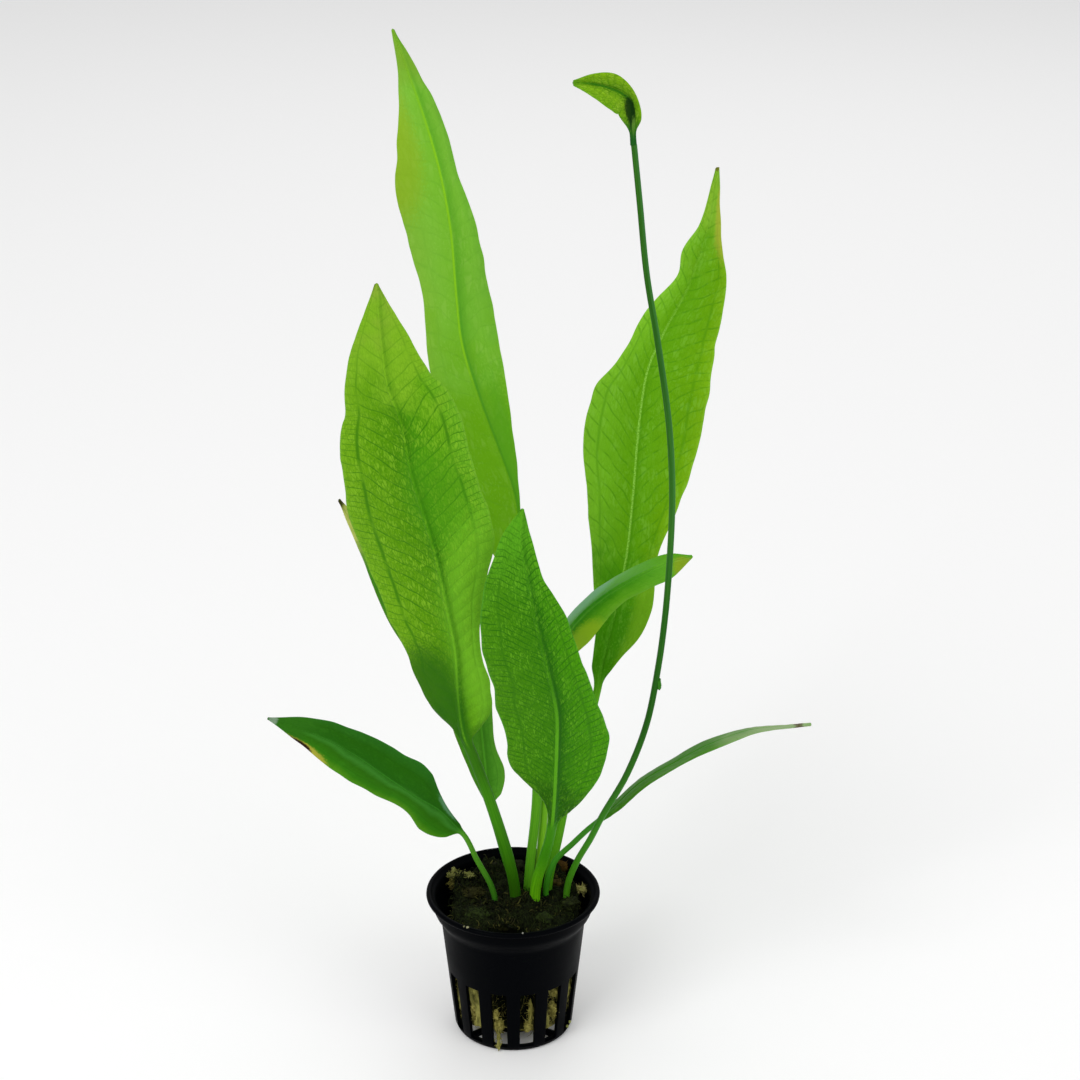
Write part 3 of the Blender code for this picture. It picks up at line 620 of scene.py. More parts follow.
def fuzz_on(centre, size, count, seed):
    """Short strands that stand all over a clod and lie half down on it."""
    rng = np.random.default_rng(seed)
    out = unit(rng.normal(size=(count, 3)))
    root = np.array(centre) + out * size * 0.92
    heading = unit(square_to(out, seed + 1) + 0.5 * out)
    length = min(1.0, 0.6 * max(size)) * rng.uniform(0.6, 1.9, count)
    curl = rng.uniform(0.8, 3.4, count)
    radius = min(1.0, max(size)) * rng.uniform(0.08, 0.19, count)
    return strands(root, heading, seed + 2, length, curl, radius, rng.uniform(0, 1, count), 5, 4)


def clod(centre, size, seed, rows=24, around=36):
    """A rough lump: a ball stretched to its three half sizes, pushed out and in by noise of two sizes."""
    polar = np.linspace(0.08, math.pi - 0.08, rows)[:, None]
    turn = evenly_round(around)
    ball = raised(np.sin(polar)[..., None] * spun(turn), np.cos(polar))
    bulge = 1 + 0.34 * rough(ball * 3, 1.5, seed) - 0.22 * np.abs(rough(ball * 3, 0.6, seed + 1))
    ends = np.array([[0, 0, 1.0], [0, 0, -1.0]])
    points = np.concatenate([(ball * bulge[..., None]).reshape(-1, 3), ends]) * size + np.array(centre)
    return points, ring_faces(rows, around)


for name, (points, faces, tone), colours in (
    ("wool_side_fibres", side_fibres(), FIBRE_COLOURS),
    ("moss_on_top", moss_strands(MOSS_STRANDS, MOSS_RADIUS, 21), MOSS_COLOURS),
    ("thick_moss_on_top", moss_strands(THICK_MOSS_STRANDS, THICK_MOSS_RADIUS, 25), THICK_MOSS_COLOURS),
):
    join_part(put_mesh(name, points, faces, fibre_material(name, colours), tone=tone))
for k, (name, centre, size, dark, pale, hairs) in enumerate(CLODS):
    material = fibre_material(name, (dark, pale))
    points, faces = clod(centre, np.array(size), 60 + 3 * k)
    tone = 0.35 + 0.5 * rough(points, 0.7, 80 + k)
    join_part(put_mesh(name, points, faces, material, tone=tone))
    points, faces, tone = fuzz_on(centre, np.array(size), hairs, 200 + 5 * k)
    join_part(put_mesh(name + "_fuzz", points, faces, material, tone=tone))
for k, (*centre, size, colour) in enumerate(CRUMBS):
    points, faces = clod(centre, np.full(3, size), 100 + 3 * k, 8, 12)
    material = fibre_material(f"crumb_{k}", (colour, colour))
    tone = 0.5 + 0.5 * rough(points, 0.3, 120 + k)
    join_part(put_mesh(f"crumb_{k}", points, faces, material, tone=tone))


# The crown is the plant's short stock: fibrous green-brown tissue, from which the stalks rise. Only
# its top shows, between the stalks and the moss.
CROWN_FOOT = 29.0
CROWN_COLOURS = ("#141A0A", "#2C3A14")


def crown_body(rows=40, around=120):
    """A low dome on an oval, from its foot to its top, with furrows round it and a rough skin."""
    share = np.linspace(0, 1, rows)[:, None]
    turn = evenly_round(around)
    dome = np.cos((share - 0.75) / 0.25 * 1.45)
    reach = np.where(share < 0.75, 0.8 + 0.2 * smooth_step(share / 0.3), dome)
    z = CROWN_FOOT + (CROWN_TOP - 0.4 - CROWN_FOOT) * np.minimum(share / 0.85, 1) + 0.4 * share
    points = raised(reach[..., None] * spun(turn) * CROWN_REACH + CROWN_CENTRE, z)
    points[..., :2] += ((points[..., :2] - CROWN_CENTRE) * 0.02) * np.cos(17 * turn)[None, :, None]
    points[..., 2] += 0.1 * rough(points, 0.8, 31) * (share > 0.1)
    ends = np.array([[*CROWN_CENTRE, CROWN_FOOT], [*CROWN_CENTRE, CROWN_TOP]])
    return np.concatenate([points.reshape(-1, 3), ends]), ring_faces(rows, around)


crown_points, crown_faces = crown_body()
crown_tone = 0.5 + 0.5 * rough(crown_points, 1.2, 33)
crown_tissue = fibre_material("crown_tissue", CROWN_COLOURS)
crown = put_mesh("crown_stock", crown_points, crown_faces, crown_tissue, tone=crown_tone)
join_part(crown, "crown")


# A leaf is one grown piece: a round stalk that runs on into the midrib of a thin lance-shaped blade.
# Its midrib stands out on the underside. One curved vein runs up each half, cross veins join it to the
# midrib and the edge, and a fine net of veins fills what is between.
BLADE_HALF_THICKNESS = 0.3
RIB_HEIGHT = 0.9
GROOVE_DEPTH = 0.25
LEAF_ROWS = 260
LAST_ROW = 0.9985
LEAF_COLUMNS = 65
# What most leaves share. Each leaf gives its own rows and colours, and what differs from these.
PLAIN_LEAF = {
    "ribbed_front": False, "lateral_at": 0.6, "climb": (0.75, 0.2), "veins_from": (0.0, 0.05),
    "veins_to": (0.9, 1.0), "even": 0.25, "net": 0.05, "net_scale": 0.5, "cross_width": 0.085,
    "outer": 1.0, "lateral": 0.2, "rib_width": 0.3, "rib_from": (0.0, 0.01), "rib_fade": (0.6, 0.9),
    "rib_grain": 0.15, "rib_shade": 0.4, "foot_end": 45.0, "neck": [], "spots": [], "roughness": 0.5,
    "gloss": 0.05,
}
SMOOTH = {"interpolation_type": "SMOOTHSTEP"}
PLUS = {"operation": "ADD"}
MINUS = {"operation": "SUBTRACT"}
TIMES = {"operation": "MULTIPLY"}
TIMES_PLUS = {"operation": "MULTIPLY_ADD"}
HIGHER = {"operation": "MAXIMUM"}
UNSIGNED = {"operation": "ABSOLUTE"}


def through(stations, values, at):
    """A smooth curve through values at their stations, read at the places at (cubic Hermite)."""
    slopes = np.gradient(values, stations, axis=0)
    low = np.clip(np.searchsorted(stations, at, side="right") - 1, 0, len(stations) - 2)
    span = (stations[low + 1] - stations[low])[:, None]
    t = (at - stations[low])[:, None] / span
    return (
        (1 + 2 * t) * (1 - t) ** 2 * values[low]
        + t * (1 - t) ** 2 * span * slopes[low]
        + t**2 * (3 - 2 * t) * values[low + 1]
        + t**2 * (t - 1) * span * slopes[low + 1]
    )


def travel_along(path):
    """The length of the path up to each of its points."""
    return np.concatenate([[0], np.cumsum(np.linalg.norm(np.diff(path, axis=0), axis=1))])


def path_frame(middle, s):
    """At each point of a path, its own direction and the two square to it, sideways and to the front."""
    along = unit(np.gradient(middle, s, axis=0))
    sideways = unit(np.cross([0, 1, 0], along))
    return sideways, np.cross(sideways, along)


def leaf_surface(leaf):
    """Closed sections of a leaf from foot to tip, as points and faces, with attributes for its veins.

    rows hold x, y, z of the midrib and the half widths left and right of it. radii are the stalk's at
    its foot, where the blade begins and at the tip. turn is the blade's turn at its foot and its tip,
    droop that of its left and its right half, in degrees. wave is the height, count and phase of the
    edges' waves, and quilt the height of the skin's swelling between the cross veins. lateral_at is the
    share of a half where its curved vein runs, and climb how steeply cross veins rise inside and
    outside of it.

    u runs from 1 at the right edge to -1 at the left one. A section is a round stalk below the blade.
    In the blade it is a thin lens whose halves turn, droop and wave, with a ridge of parabolic section
    on the underside for its midrib.
    """
    rows = np.array(leaf["rows"], float)
    seed = leaf["seed"]
    travel = travel_along(rows[:, :3])
    length = travel[-1]
    station = travel / length
    s = np.linspace(0, LAST_ROW, LEAF_ROWS)
    middle = through(station, rows[:, :3], s)
    width = np.maximum(through(station, rows[:, 3:], s), 0)
    neck = station[np.argmax(rows[:, 3:].max(axis=1) > 0) - 1]
    widest = station[np.argmax(rows[:, 3:].sum(axis=1))]
    stalk = np.interp(s, [0, neck, 1], leaf["radii"])
    leafy = np.where(s > widest, 1, smooth_step((width.mean(axis=1) - 0.6 * stalk) / 2.5))
    width = np.maximum(width, stalk[:, None])

    sideways, front = path_frame(middle, s)
    turn = np.radians(np.interp(s, [neck, 1], leaf["turn"])) * leafy
    cosine, sine = np.cos(turn)[:, None], np.sin(turn)[:, None]
    across_way = sideways * cosine + front * sine
    facing = front * cosine - sideways * sine

    u = np.sin(np.linspace(1, -1, LEAF_COLUMNS) * math.pi / 2)
    u = np.concatenate([u, u[-2:0:-1]])
    side = np.concatenate([np.ones(LEAF_COLUMNS), -np.ones(LEAF_COLUMNS - 2)])
    hand = np.where(u >= 0, 1, 0)
    sign = np.where(u >= 0, 1.0, -1.0)
    wide, stem, leafy, up_mm = width[:, hand], stalk[:, None], leafy[:, None], s[:, None] * length
    outer = np.maximum(3 * np.abs(u) - 1, 0) / 2
    ragged = rough(np.stack(np.broadcast_arrays(up_mm, sign * 40, 0.0), axis=-1), 5.0, seed)
    wide = wide * (1 + 0.012 * ragged) + 0.12 * ragged * leafy
    reach = np.minimum(3 * np.abs(u), 1) * stem + outer * (wide - stem)
    reach = reach * leafy + stem * np.sin(np.abs(u) * math.pi / 2) * (1 - leafy)
    share = sign * reach / np.maximum(wide, stem)

    away = np.abs(share)
    at = leaf["lateral_at"]
    steep, flat_out = leaf["climb"]
    climb = wide * (steep * np.minimum(away, at) + flat_out * np.maximum(away - at, 0))
    plain = np.stack(np.broadcast_arrays(sign * reach, up_mm, seed * 10.0), axis=-1)
    wander = rough(plain, 7.0, seed + 1) + 0.4 * rough(plain, 2.6, seed + 5)
    cross = (up_mm - climb) / leaf["vein_spacing"] + 0.5 * hand + 0.3 * wander
    lateral = away - at + 0.03 * rough(plain, 9.0, seed + 2)

    rib_side = side == (1 if leaf["ribbed_front"] else -1)
    thick = BLADE_HALF_THICKNESS * (1 - np.abs(u) ** 8)
    ridge = RIB_HEIGHT * stem * np.maximum(1 - (3 * u) ** 2, 0)
    groove = 0.28 * stem * np.maximum(1 - (4 * u) ** 2, 0) ** 2
    thick = thick + np.where(rib_side, ridge, -np.minimum(groove, GROOVE_DEPTH))
    thick = thick * leafy + stem * np.cos(u * math.pi / 2) * (1 - leafy)
    swell = np.sin(math.pi * cross) ** 2 * smooth_step((away - 0.06) * 8) * smooth_step((0.97 - away) * 6)
    swell = swell * (1 - 0.8 * np.exp(-((lateral / 0.05) ** 2)))
    swell = leaf["quilt"] * (swell - 0.5 + 0.6 * rough(plain, 2.2, seed + 3)) * leafy

    beyond = np.maximum(reach - stem, 0) * leafy
    droop = np.radians(np.where(hand, leaf["droop"][1], leaf["droop"][0]))
    height, count, phase = leaf["wave"]
    wave = height * outer**2 * np.sin(2 * math.pi * count * s[:, None] + phase + 2 * hand) * leafy
    flat = sign * (np.minimum(reach, stem) + beyond * np.cos(droop))
    lean = np.where(outer > 0, np.sin(droop) * sign, 0) * leafy
    skin = unit(facing[:, None] + across_way[:, None] * lean[..., None])
    points = (
        middle[:, None] + across_way[:, None] * flat[..., None]
        + facing[:, None] * (wave + swell - beyond * np.sin(droop))[..., None]
        + skin * (side * thick)[..., None]
    )
    ends = np.array([middle[0], through(station, rows[:, :3], np.array([1.0]))[0]])
    values = {
        "share": (share, 0, 0), "lateral": (lateral, 0, 0), "cross": (cross, cross[0, 0], cross[-1, 0]),
        "blade": (leafy, 0, 1), "up": (s[:, None], 0, 1), "away_mm": (sign * reach, 0, 0),
        "along_mm": (up_mm, 0, length),
    }
    values = {
        key: np.append(np.broadcast_to(value, share.shape), at_ends)
        for key, (value, *at_ends) in values.items()
    }
    return np.concatenate([points.reshape(-1, 3), ends]), ring_faces(*share.shape), values


def leaf_tissue(name, look):
    """Live leaf: a waxy skin with a soft sheen over green tissue.

    across holds the colours from the blade's left edge to its right one, and along those that come in
    up its length. fleck, net, cross, lateral and rib_shade say how strong the pale cells, the fine net,
    the cross veins, the curved vein of each half and the painted shadow beside the midrib are, outer how
    many times more cross veins there are beyond the curved one, and even how little they vary in strength.
    Pairs such as veins_from are shares of the length over which a mark comes in or fades out. neck and
    foot_end are in millimetres up the stalk. A spot is its place across and along, its half sizes, the
    share of them that its full core has, its strength and its colour. Noise is laid over millimetres,
    so that a scale of 0.09 makes patches of about 11 mm.
    """
    material, node, shader = new_material(name)
    share, lateral_off, cross, is_blade, up, away, along = (
        node("Attribute", attribute_name=key, out="Fac")
        for key in ("share", "lateral", "cross", "blade", "up", "away_mm", "along_mm")
    )

    def faded(strength, source, *span):
        """The strength as it comes in or fades out: times a smooth step of the source over the span."""
        return node("Math", strength, node("MapRange", source, *span, **SMOOTH), **TIMES)

    place = node("CombineXYZ", away, along, 0.0)
    drift = node("Math", node("TexNoise", place, 0.09, 2.0), 0.2, -0.1, **TIMES_PLUS)
    from_left = node("Math", share, 0.5, node("Math", drift, 0.5, **PLUS), **TIMES_PLUS)
    colour = node("ValToRGB", from_left, stops=look["across"])
    for code, low, high in look["along"]:
        reached = node("MapRange", node("Math", up, drift, **PLUS), low, high, 0.0, 1.0, **SMOOTH)
        colour = node("Mix", reached, colour, code, **RGBA)

    patch = node("TexNoise", place, 0.16, 2.0)
    begun = node("MapRange", up, *look["veins_from"], 0.2, 1.0, **SMOOTH)
    shown = faded(begun, up, *look["veins_to"], 1.0, 0.35)
    drawn = node("Mapping", place, Scale=(1.6, 0.7, 1.0))
    speckle = node("TexNoise", drawn, 1.5, 3.0)
    bent = node("VectorMath", node("TexNoise", place, 0.7, 1.0, out="Color"), place, **PLUS)
    bent = node("Mapping", bent, Scale=(1.9, 0.5, 1.0))
    to_edge = node("TexVoronoi", bent, look["net_scale"], feature="DISTANCE_TO_EDGE")
    cell = node("TexVoronoi", bent, look["net_scale"], out="Color")
    pale = node("MapRange", node("SeparateColor", cell), 0.25, 0.95, 0.0, 1.0, **SMOOTH)
    pale = faded(pale, to_edge, 0.04, 0.22, 0.0, 1.0)
    pale = node("Math", pale, node("MapRange", speckle, 0.52, 0.66, 0.0, 0.8, **SMOOTH), **HIGHER)
    fleck, even = look["fleck"], look["even"]
    pale = faded(pale, patch, 0.34, 0.6, even * fleck, fleck)
    colour = node("Mix", node("Math", pale, shown, **TIMES), colour, look["fleck_colour"], **RGBA)

    net = node("MapRange", to_edge, 0.0, 0.13, look["net"], 0.0, **SMOOTH)
    beyond = node("Math", lateral_off, 0.0, operation="GREATER_THAN")
    count = node("Math", cross, node("Math", beyond, look["outer"] - 1.0, 1.0, **TIMES_PLUS), **TIMES)
    line = node("Math", count, 0.5, operation="PINGPONG")
    line = node("MapRange", line, 0.015, look["cross_width"], 1.0, 0.0, **SMOOTH)
    line = faded(line, node("TexNoise", place, 0.3, 2.0), 0.36, 0.56, even * look["cross"], look["cross"])
    lateral = node("Math", lateral_off, **UNSIGNED)
    lateral = node("MapRange", lateral, 0.006, 0.045, look["lateral"], 0.0, **SMOOTH)
    lateral = faded(lateral, node("TexNoise", place, 0.12, 1.0), 0.34, 0.5, 0.45, 1.0)
    veins = node("Math", node("Math", node("Math", net, line, **HIGHER), lateral, **HIGHER), shown, **TIMES)
    colour = node("Mix", veins, colour, look["vein"], **RGBA)

    # Painted shadow beside the raised midrib: a soft dark band and a crisp dark line on its right side, in
    # the vein colour, fainter towards the tip.
    width, depth = look["rib_width"], look["rib_shade"]
    right = node("MapRange", away, 0.1, 0.5, 0.0, 1.0, **SMOOTH)
    soft = node("Math", node("MapRange", away, 0.7, 3.2, 0.6 * depth, 0.0, **SMOOTH), right, **TIMES)
    crisp = node("Math", node("Math", away, width + 0.35, **MINUS), **UNSIGNED)
    crisp = node("MapRange", crisp, 0.15, 0.5, depth, 0.0, **SMOOTH)
    shade = faded(node("Math", soft, crisp, **HIGHER), up, 0.6, 0.85, 1.0, 0.35)
    colour = node("Mix", shade, colour, look["vein"], **RGBA)
    rib = node("MapRange", node("Math", away, **UNSIGNED), width, width * 0.5, 0.0, 1.0, **SMOOTH)
    rib = faded(faded(rib, up, *look["rib_fade"], 1.0, 0.1), up, *look["rib_from"], 0.1, 1.0)
    grain = node("TexNoise", place, 2.2, 2.0)
    grain = node("MapRange", grain, 0.42, 0.56, 1.0 - look["rib_grain"], 1.0, **SMOOTH)
    colour = node("Mix", node("Math", rib, grain, **TIMES), colour, look["rib"], **RGBA)

    edge = node("MapRange", node("Math", share, **UNSIGNED), 0.95, 0.995, 0.0, 0.4, **SMOOTH)
    colour = node("Mix", edge, colour, look["edge"], **RGBA)

    for at_share, at_up, half_width, half_height, core, strength, code in look["spots"]:
        parts = [
            node("Math", node("Math", value, centre, **MINUS), half, operation="DIVIDE")
            for value, centre, half in ((share, at_share, half_width), (up, at_up, half_height))
        ]
        total = node("Math", *[node("Math", part, part, **TIMES) for part in parts], **PLUS)
        total = node("Math", total, node("Math", speckle, 1.6, 0.2, **TIMES_PLUS), **TIMES)
        marked = node("MapRange", total, 1.2, core, 0.0, strength, **SMOOTH)
        colour = node("Mix", marked, colour, code, **RGBA)

    streak = node("Mapping", node("CombineXYZ", share, along, 0.0), Scale=(5.0, 0.05, 1.0))
    low = node("MapRange", along, 5.0, look["foot_end"], 0.0, 1.0)
    stalk = node("Mix", low, look["foot"], look["stalk_colour"], **RGBA)
    for code, start, end in look["neck"]:
        stalk = node("Mix", node("MapRange", along, start, end, 0.0, 1.0, **SMOOTH), stalk, code, **RGBA)
    stripe = node("MapRange", node("TexNoise", streak, 1.0, 2.0), 0.4, 0.62, 0.0, 0.55, **SMOOTH)
    stalk = node("Mix", stripe, stalk, look["stalk_stripe"], **RGBA)
    colour = node("Mix", is_blade, stalk, colour, **RGBA)

    height = node("Math", speckle, 0.5, node("Math", veins, -0.7, **TIMES), **TIMES_PLUS)
    bump = node("Bump", Strength=look["relief"], Distance=0.0004, Height=height)
    feed(shader, Base_Color=colour, Normal=bump)
    feed(shader, Roughness=look["roughness"], Specular_IOR_Level=look["gloss"])
    return material


def make_leaf(name, node, slot, **leaf):
    """One leaf in the place of its solid: what is given of it, and for the rest what most leaves share."""
    leaf = PLAIN_LEAF | leaf
    points, faces, values = leaf_surface(leaf)
    join_part(put_mesh(name, points, faces, leaf_tissue(name + "_tissue", leaf), **values), node)


# The tallest leaf is at the back on the left, and grows from the middle of the crown. It shows its
# smooth pale upper face, and its left edge has yellowed below the tip.
make_leaf(
    "tall_leaf", "leaf_tall", "leaf_upper",
    rows=[
        (4.1, 4, 35.3, 0, 0), (5, 4.6, 50, 0, 0), (7.25, 6.5, 75, 0, 0), (7.5, 10, 94, 0, 0),
        (6.3, 14, 119, 0, 0), (4.4, 16.5, 138, 2, 0), (2.7, 18, 155, 10, 0.2), (0, 19, 172, 13, 2.2),
        (-4.5, 20, 185, 13, 5.8), (-10, 20, 201, 12, 9.6), (-14.7, 20, 219, 10.1, 11.4),
        (-15.7, 20, 230, 9.6, 10.4), (-17.4, 18, 254, 13, 7.4), (-19.6, 16, 268, 12.9, 5.1),
        (-22.4, 14, 280, 9.4, 5.2), (-28, 10, 299, 2.7, 2.6), (-31.7, 7, 311, 0.3, 0.3),
    ],
    radii=(1.5, 1.35, 0.4), turn=(0, -10), droop=(8, 18), wave=(0.8, 5, 0.0), vein_spacing=6.0,
    lateral_at=0.62, quilt=0.08, seed=201,
    across=[
        (0.0, "#7EB436"), (0.25, "#7AB836"), (0.5, "#74B52A"), (0.56, "#66AC26"), (0.8, "#76B732"),
        (1.0, "#6CAE30"),
    ],
    along=[("#6CAC14", 0.7, 0.55), ("#78A82C", 0.9, 1.0)],
    vein="#4C9420", fleck=0.3, fleck_colour="#94C650", net=0.07, net_scale=0.35, cross=0.2, lateral=0.13,
    rib="#86C41E", rib_from=(0.58, 0.66), rib_width=0.4, rib_fade=(0.85, 1.0), rib_shade=0.8,
    edge="#80B23C", stalk_colour="#5EA61E", stalk_stripe="#449018", foot="#5C9E1C", relief=0.15,
    # The second spot, darker, on the right half low on the blade, is painted shade on that half.
    spots=[(-1.0, 0.86, 0.75, 0.075, 0.2, 0.55, "#8CAA10"), (0.55, 0.5, 0.55, 0.13, 0.2, 0.7, "#549E18")],
)


# The broadest leaf is at the front on the left, and grows from the crown's front. It shows its
# underside, with the net of veins that stands out there.
make_leaf(
    "front_left_leaf", "leaf_front_left", "leaf_under",
    rows=[
        (1.2, -0.6, 35.3, 0, 0), (0.5, -1.2, 48, 0, 0), (-1, -4.5, 59, 0, 0), (-4.6, -9, 75.5, 0, 0),
        (-11.7, -16, 102.5, 0, 0.5), (-13.6, -18, 109, 1.8, 4), (-14.7, -20.5, 117, 8, 8.7),
        (-15.3, -22.5, 127, 12.8, 9.5), (-15.7, -25, 140, 15.9, 7.3), (-17.8, -28, 155, 19.4, 9.9),
        (-21.5, -32, 176.5, 22.8, 17.5), (-24.3, -33.6, 188, 22.7, 17.5), (-26.5, -35, 197, 21, 17),
        (-29.9, -36, 216, 17.3, 14.8), (-32.4, -36, 223, 13.7, 12.7), (-33.8, -35, 233, 9.8, 9.2),
        (-35.2, -31, 251, 0.3, 0.3),
    ],
    radii=(1.7, 1.75, 0.4), turn=(5, 10), droop=(12, 10), wave=(0.9, 4, 1.0), ribbed_front=True,
    vein_spacing=4.4, lateral_at=0.72, quilt=0.22, seed=211,
    across=[
        (0.0, "#6EA414"), (0.3, "#569002"), (0.46, "#488400"), (0.56, "#468804"), (0.78, "#5E9C0C"),
        (1.0, "#64A420"),
    ],
    # The dark stop low in along and the dark spot low on the left half are painted shade: the blade darkens
    # towards its foot.
    along=[("#3A7604", 0.40, 0.33), ("#74A81C", 0.82, 0.9), ("#86A632", 0.92, 1.0)],
    neck=[("#36700A", 52.0, 66.0)],
    veins_from=(0.38, 0.56), veins_to=(0.78, 0.95), even=0.6, vein="#2F7004", fleck=0.65,
    fleck_colour="#80B428", net=0.4, net_scale=0.8, cross=0.85, outer=2.0, lateral=0.8, rib="#66A81A",
    rib_width=0.36, rib_fade=(0.42, 0.58), rib_shade=0.95, edge="#76AA34", stalk_colour="#40860E",
    stalk_stripe="#2A6A04", foot="#284A06", foot_end=44.0, relief=0.35,
    # The pale spot on the right half is painted light, lifting that half out of the shade that the blade's
    # tilt gives it.
    spots=[
        (0.3, 0.72, 0.55, 0.09, 0.2, 0.55, "#428A0A"), (-0.6, 0.4, 0.85, 0.11, 0.2, 0.85, "#235F06"),
        (0.8, 0.53, 1.0, 0.17, 0.2, 0.6, "#7CC42A"),
    ],
)


# The short broad leaf in the middle at the front grows from the crown's front too. It is a deeper
# green, and also shows its underside.
make_leaf(
    "front_centre_leaf", "leaf_front_centre", "leaf_under",
    rows=[
        (6.6, -0.7, 35.3, 0, 0), (7, -1.8, 49, 0, 0), (9.4, -6.8, 61.5, 0, 0), (11.4, -13, 73.5, 0, 0.5),
        (12.4, -19, 87.5, 3.4, 8.6), (12.8, -23, 99, 12.9, 14.2), (13.1, -27, 111, 14.7, 15.6),
        (13, -31, 123.5, 17.4, 12), (11.5, -34, 133.5, 16.6, 10.6), (9.8, -36, 142.5, 17, 9.8),
        (7.6, -38, 153, 16.3, 8.7), (4.8, -40, 169.5, 11.4, 4.1), (2.9, -40, 181.5, 5.2, 3),
        (3.5, -39, 189.5, 0.3, 0.3),
    ],
    radii=(1.7, 1.6, 0.4), turn=(0, -6), droop=(12, 12), wave=(0.7, 4, 2.0), ribbed_front=True,
    vein_spacing=2.1, lateral_at=0.66, quilt=0.22, seed=221,
    across=[
        (0.0, "#488608"), (0.25, "#408002"), (0.46, "#3A7C02"), (0.56, "#2C7002"), (0.72, "#408802"),
        (1.0, "#489404"),
    ],
    # The near black stop low in along is painted shade: the blade darkens towards its foot.
    along=[("#1A4A00", 0.45, 0.28), ("#56A01A", 0.8, 1.0)],
    neck=[("#3C8410", 16.0, 32.0)],
    vein="#226204", fleck=0.6, fleck_colour="#66A820", net=0.5, net_scale=0.9, cross=0.85, cross_width=0.17,
    lateral=0.5, rib="#58A018", rib_width=0.62, rib_fade=(0.5, 0.7), rib_shade=0.95, edge="#549A34",
    stalk_colour="#64B416", stalk_stripe="#3F8E0C", foot="#74C80E", foot_end=24.0, relief=0.35,
)


# The narrow leaf behind the front left one grows from the back of the crown's left end. Its tip has
# died back to brown.
make_leaf(
    "behind_left_leaf", "leaf_behind_left", "leaf_dark",
    rows=[
        (0.2, 4.8, 35.3, 0, 0), (-0.3, 4.6, 47, 0, 0), (-2.6, 3.6, 57, 0, 0), (-6.2, 2, 72.5, 0, 0.5),
        (-7.7, 2, 79, 2.1, 4.5), (-8.2, 3, 86.5, 4.9, 5.7), (-8.8, 4, 93, 7, 3.8),
        (-11.4, 6, 109, 9.5, 5.2), (-18.9, 8, 121.5, 9.5, 9), (-29.2, 9, 134, 7.4, 10),
        (-40.5, 8, 154, 3.5, 6), (-50.2, 5, 174.5, 0.3, 0.3),
    ],
    radii=(1.3, 1.2, 0.4), turn=(0, 0), droop=(8, 12), wave=(0.6, 3, 0.5), vein_spacing=4.5, quilt=0.1,
    seed=231,
    across=[(0.0, "#40801A"), (0.4, "#408018"), (0.5, "#3E7E14"), (0.7, "#4A9020"), (1.0, "#5AA02A")],
    along=[("#8CA844", 0.82, 0.9), ("#B8C060", 0.9, 0.95), ("#3A2412", 0.972, 0.992)],
    vein="#2A6A0E", fleck=0.2, fleck_colour="#5FA02E", net=0.12, cross=0.25, lateral=0.3, rib="#4C9420",
    rib_width=0.4, rib_fade=(0.7, 0.9), edge="#8A8A2C", stalk_colour="#3F8A12", stalk_stripe="#2C7412",
    foot="#3C7E14", roughness=0.45, relief=0.2,
)


# The broad leaf at the right at the back grows from the back of the crown's right half. Its upper face
# is to the front, and its midrib is pale and grainy.
make_leaf(
    "right_leaf", "leaf_right", "leaf_upper",
    rows=[
        (10.4, 5.6, 35.3, 0, 0), (10.9, 6.4, 46, 0, 0), (13.6, 9, 58, 0, 0), (18, 14, 77.5, 0, 0),
        (22, 18, 89, 0, 0), (26, 23, 104, 2.5, 0.5), (28.2, 26, 115, 3.6, 5.4), (30, 28, 122, 5, 9.2),
        (31.9, 30, 130, 7.5, 10.8), (35, 34, 146, 11.8, 9.4), (36.5, 37, 161.5, 15, 14.4),
        (38.4, 41, 186, 17.1, 19), (39.3, 41.5, 194, 14.8, 19.4), (40.5, 42, 201, 9.9, 19.3),
        (45.8, 43, 214, 8.1, 16.3), (50.6, 43, 223.5, 5.9, 12.9), (52.9, 42.7, 229, 4.4, 11),
        (54.9, 42, 236, 5.4, 8.7), (57.4, 41, 245, 3.1, 4.5), (59.5, 37, 265, 0.3, 0.3),
    ],
    radii=(1.45, 1.2, 0.4), turn=(5, 12), droop=(15, 0), wave=(1.0, 5, 2.5), vein_spacing=4.4,
    lateral_at=0.73, climb=(1.0, 0.8), quilt=0.16, seed=241,
    across=[
        (0.0, "#7CBC28"), (0.2, "#6EAE1C"), (0.45, "#5C9A06"), (0.6, "#5E9E0A"), (0.85, "#649E04"),
        (1.0, "#78AC10"),
    ],
    # The dark stop low in along is painted shade: the blade darkens towards its foot.
    along=[("#3E8402", 0.53, 0.4), ("#84B62C", 0.85, 0.97)],
    vein="#3C8006", fleck=0.35, fleck_colour="#80BC40", net=0.14, cross=0.5, cross_width=0.13, lateral=0.4,
    rib="#8CC648", rib_width=0.42, rib_fade=(0.7, 0.85), rib_from=(0.4, 0.5), rib_grain=0.75,
    edge="#88BA36", stalk_colour="#64AC1E", stalk_stripe="#468E12", foot="#4E9416", relief=0.3,
    spots=[
        (0.95, 0.93, 0.5, 0.05, 0.2, 0.6, "#A8A838"), (1.0, 0.42, 0.6, 0.09, 0.2, 0.6, "#78AC1C"),
        (0.0, 1.0, 1.5, 0.006, 0.2, 0.8, "#6A5A20"),
    ],
)


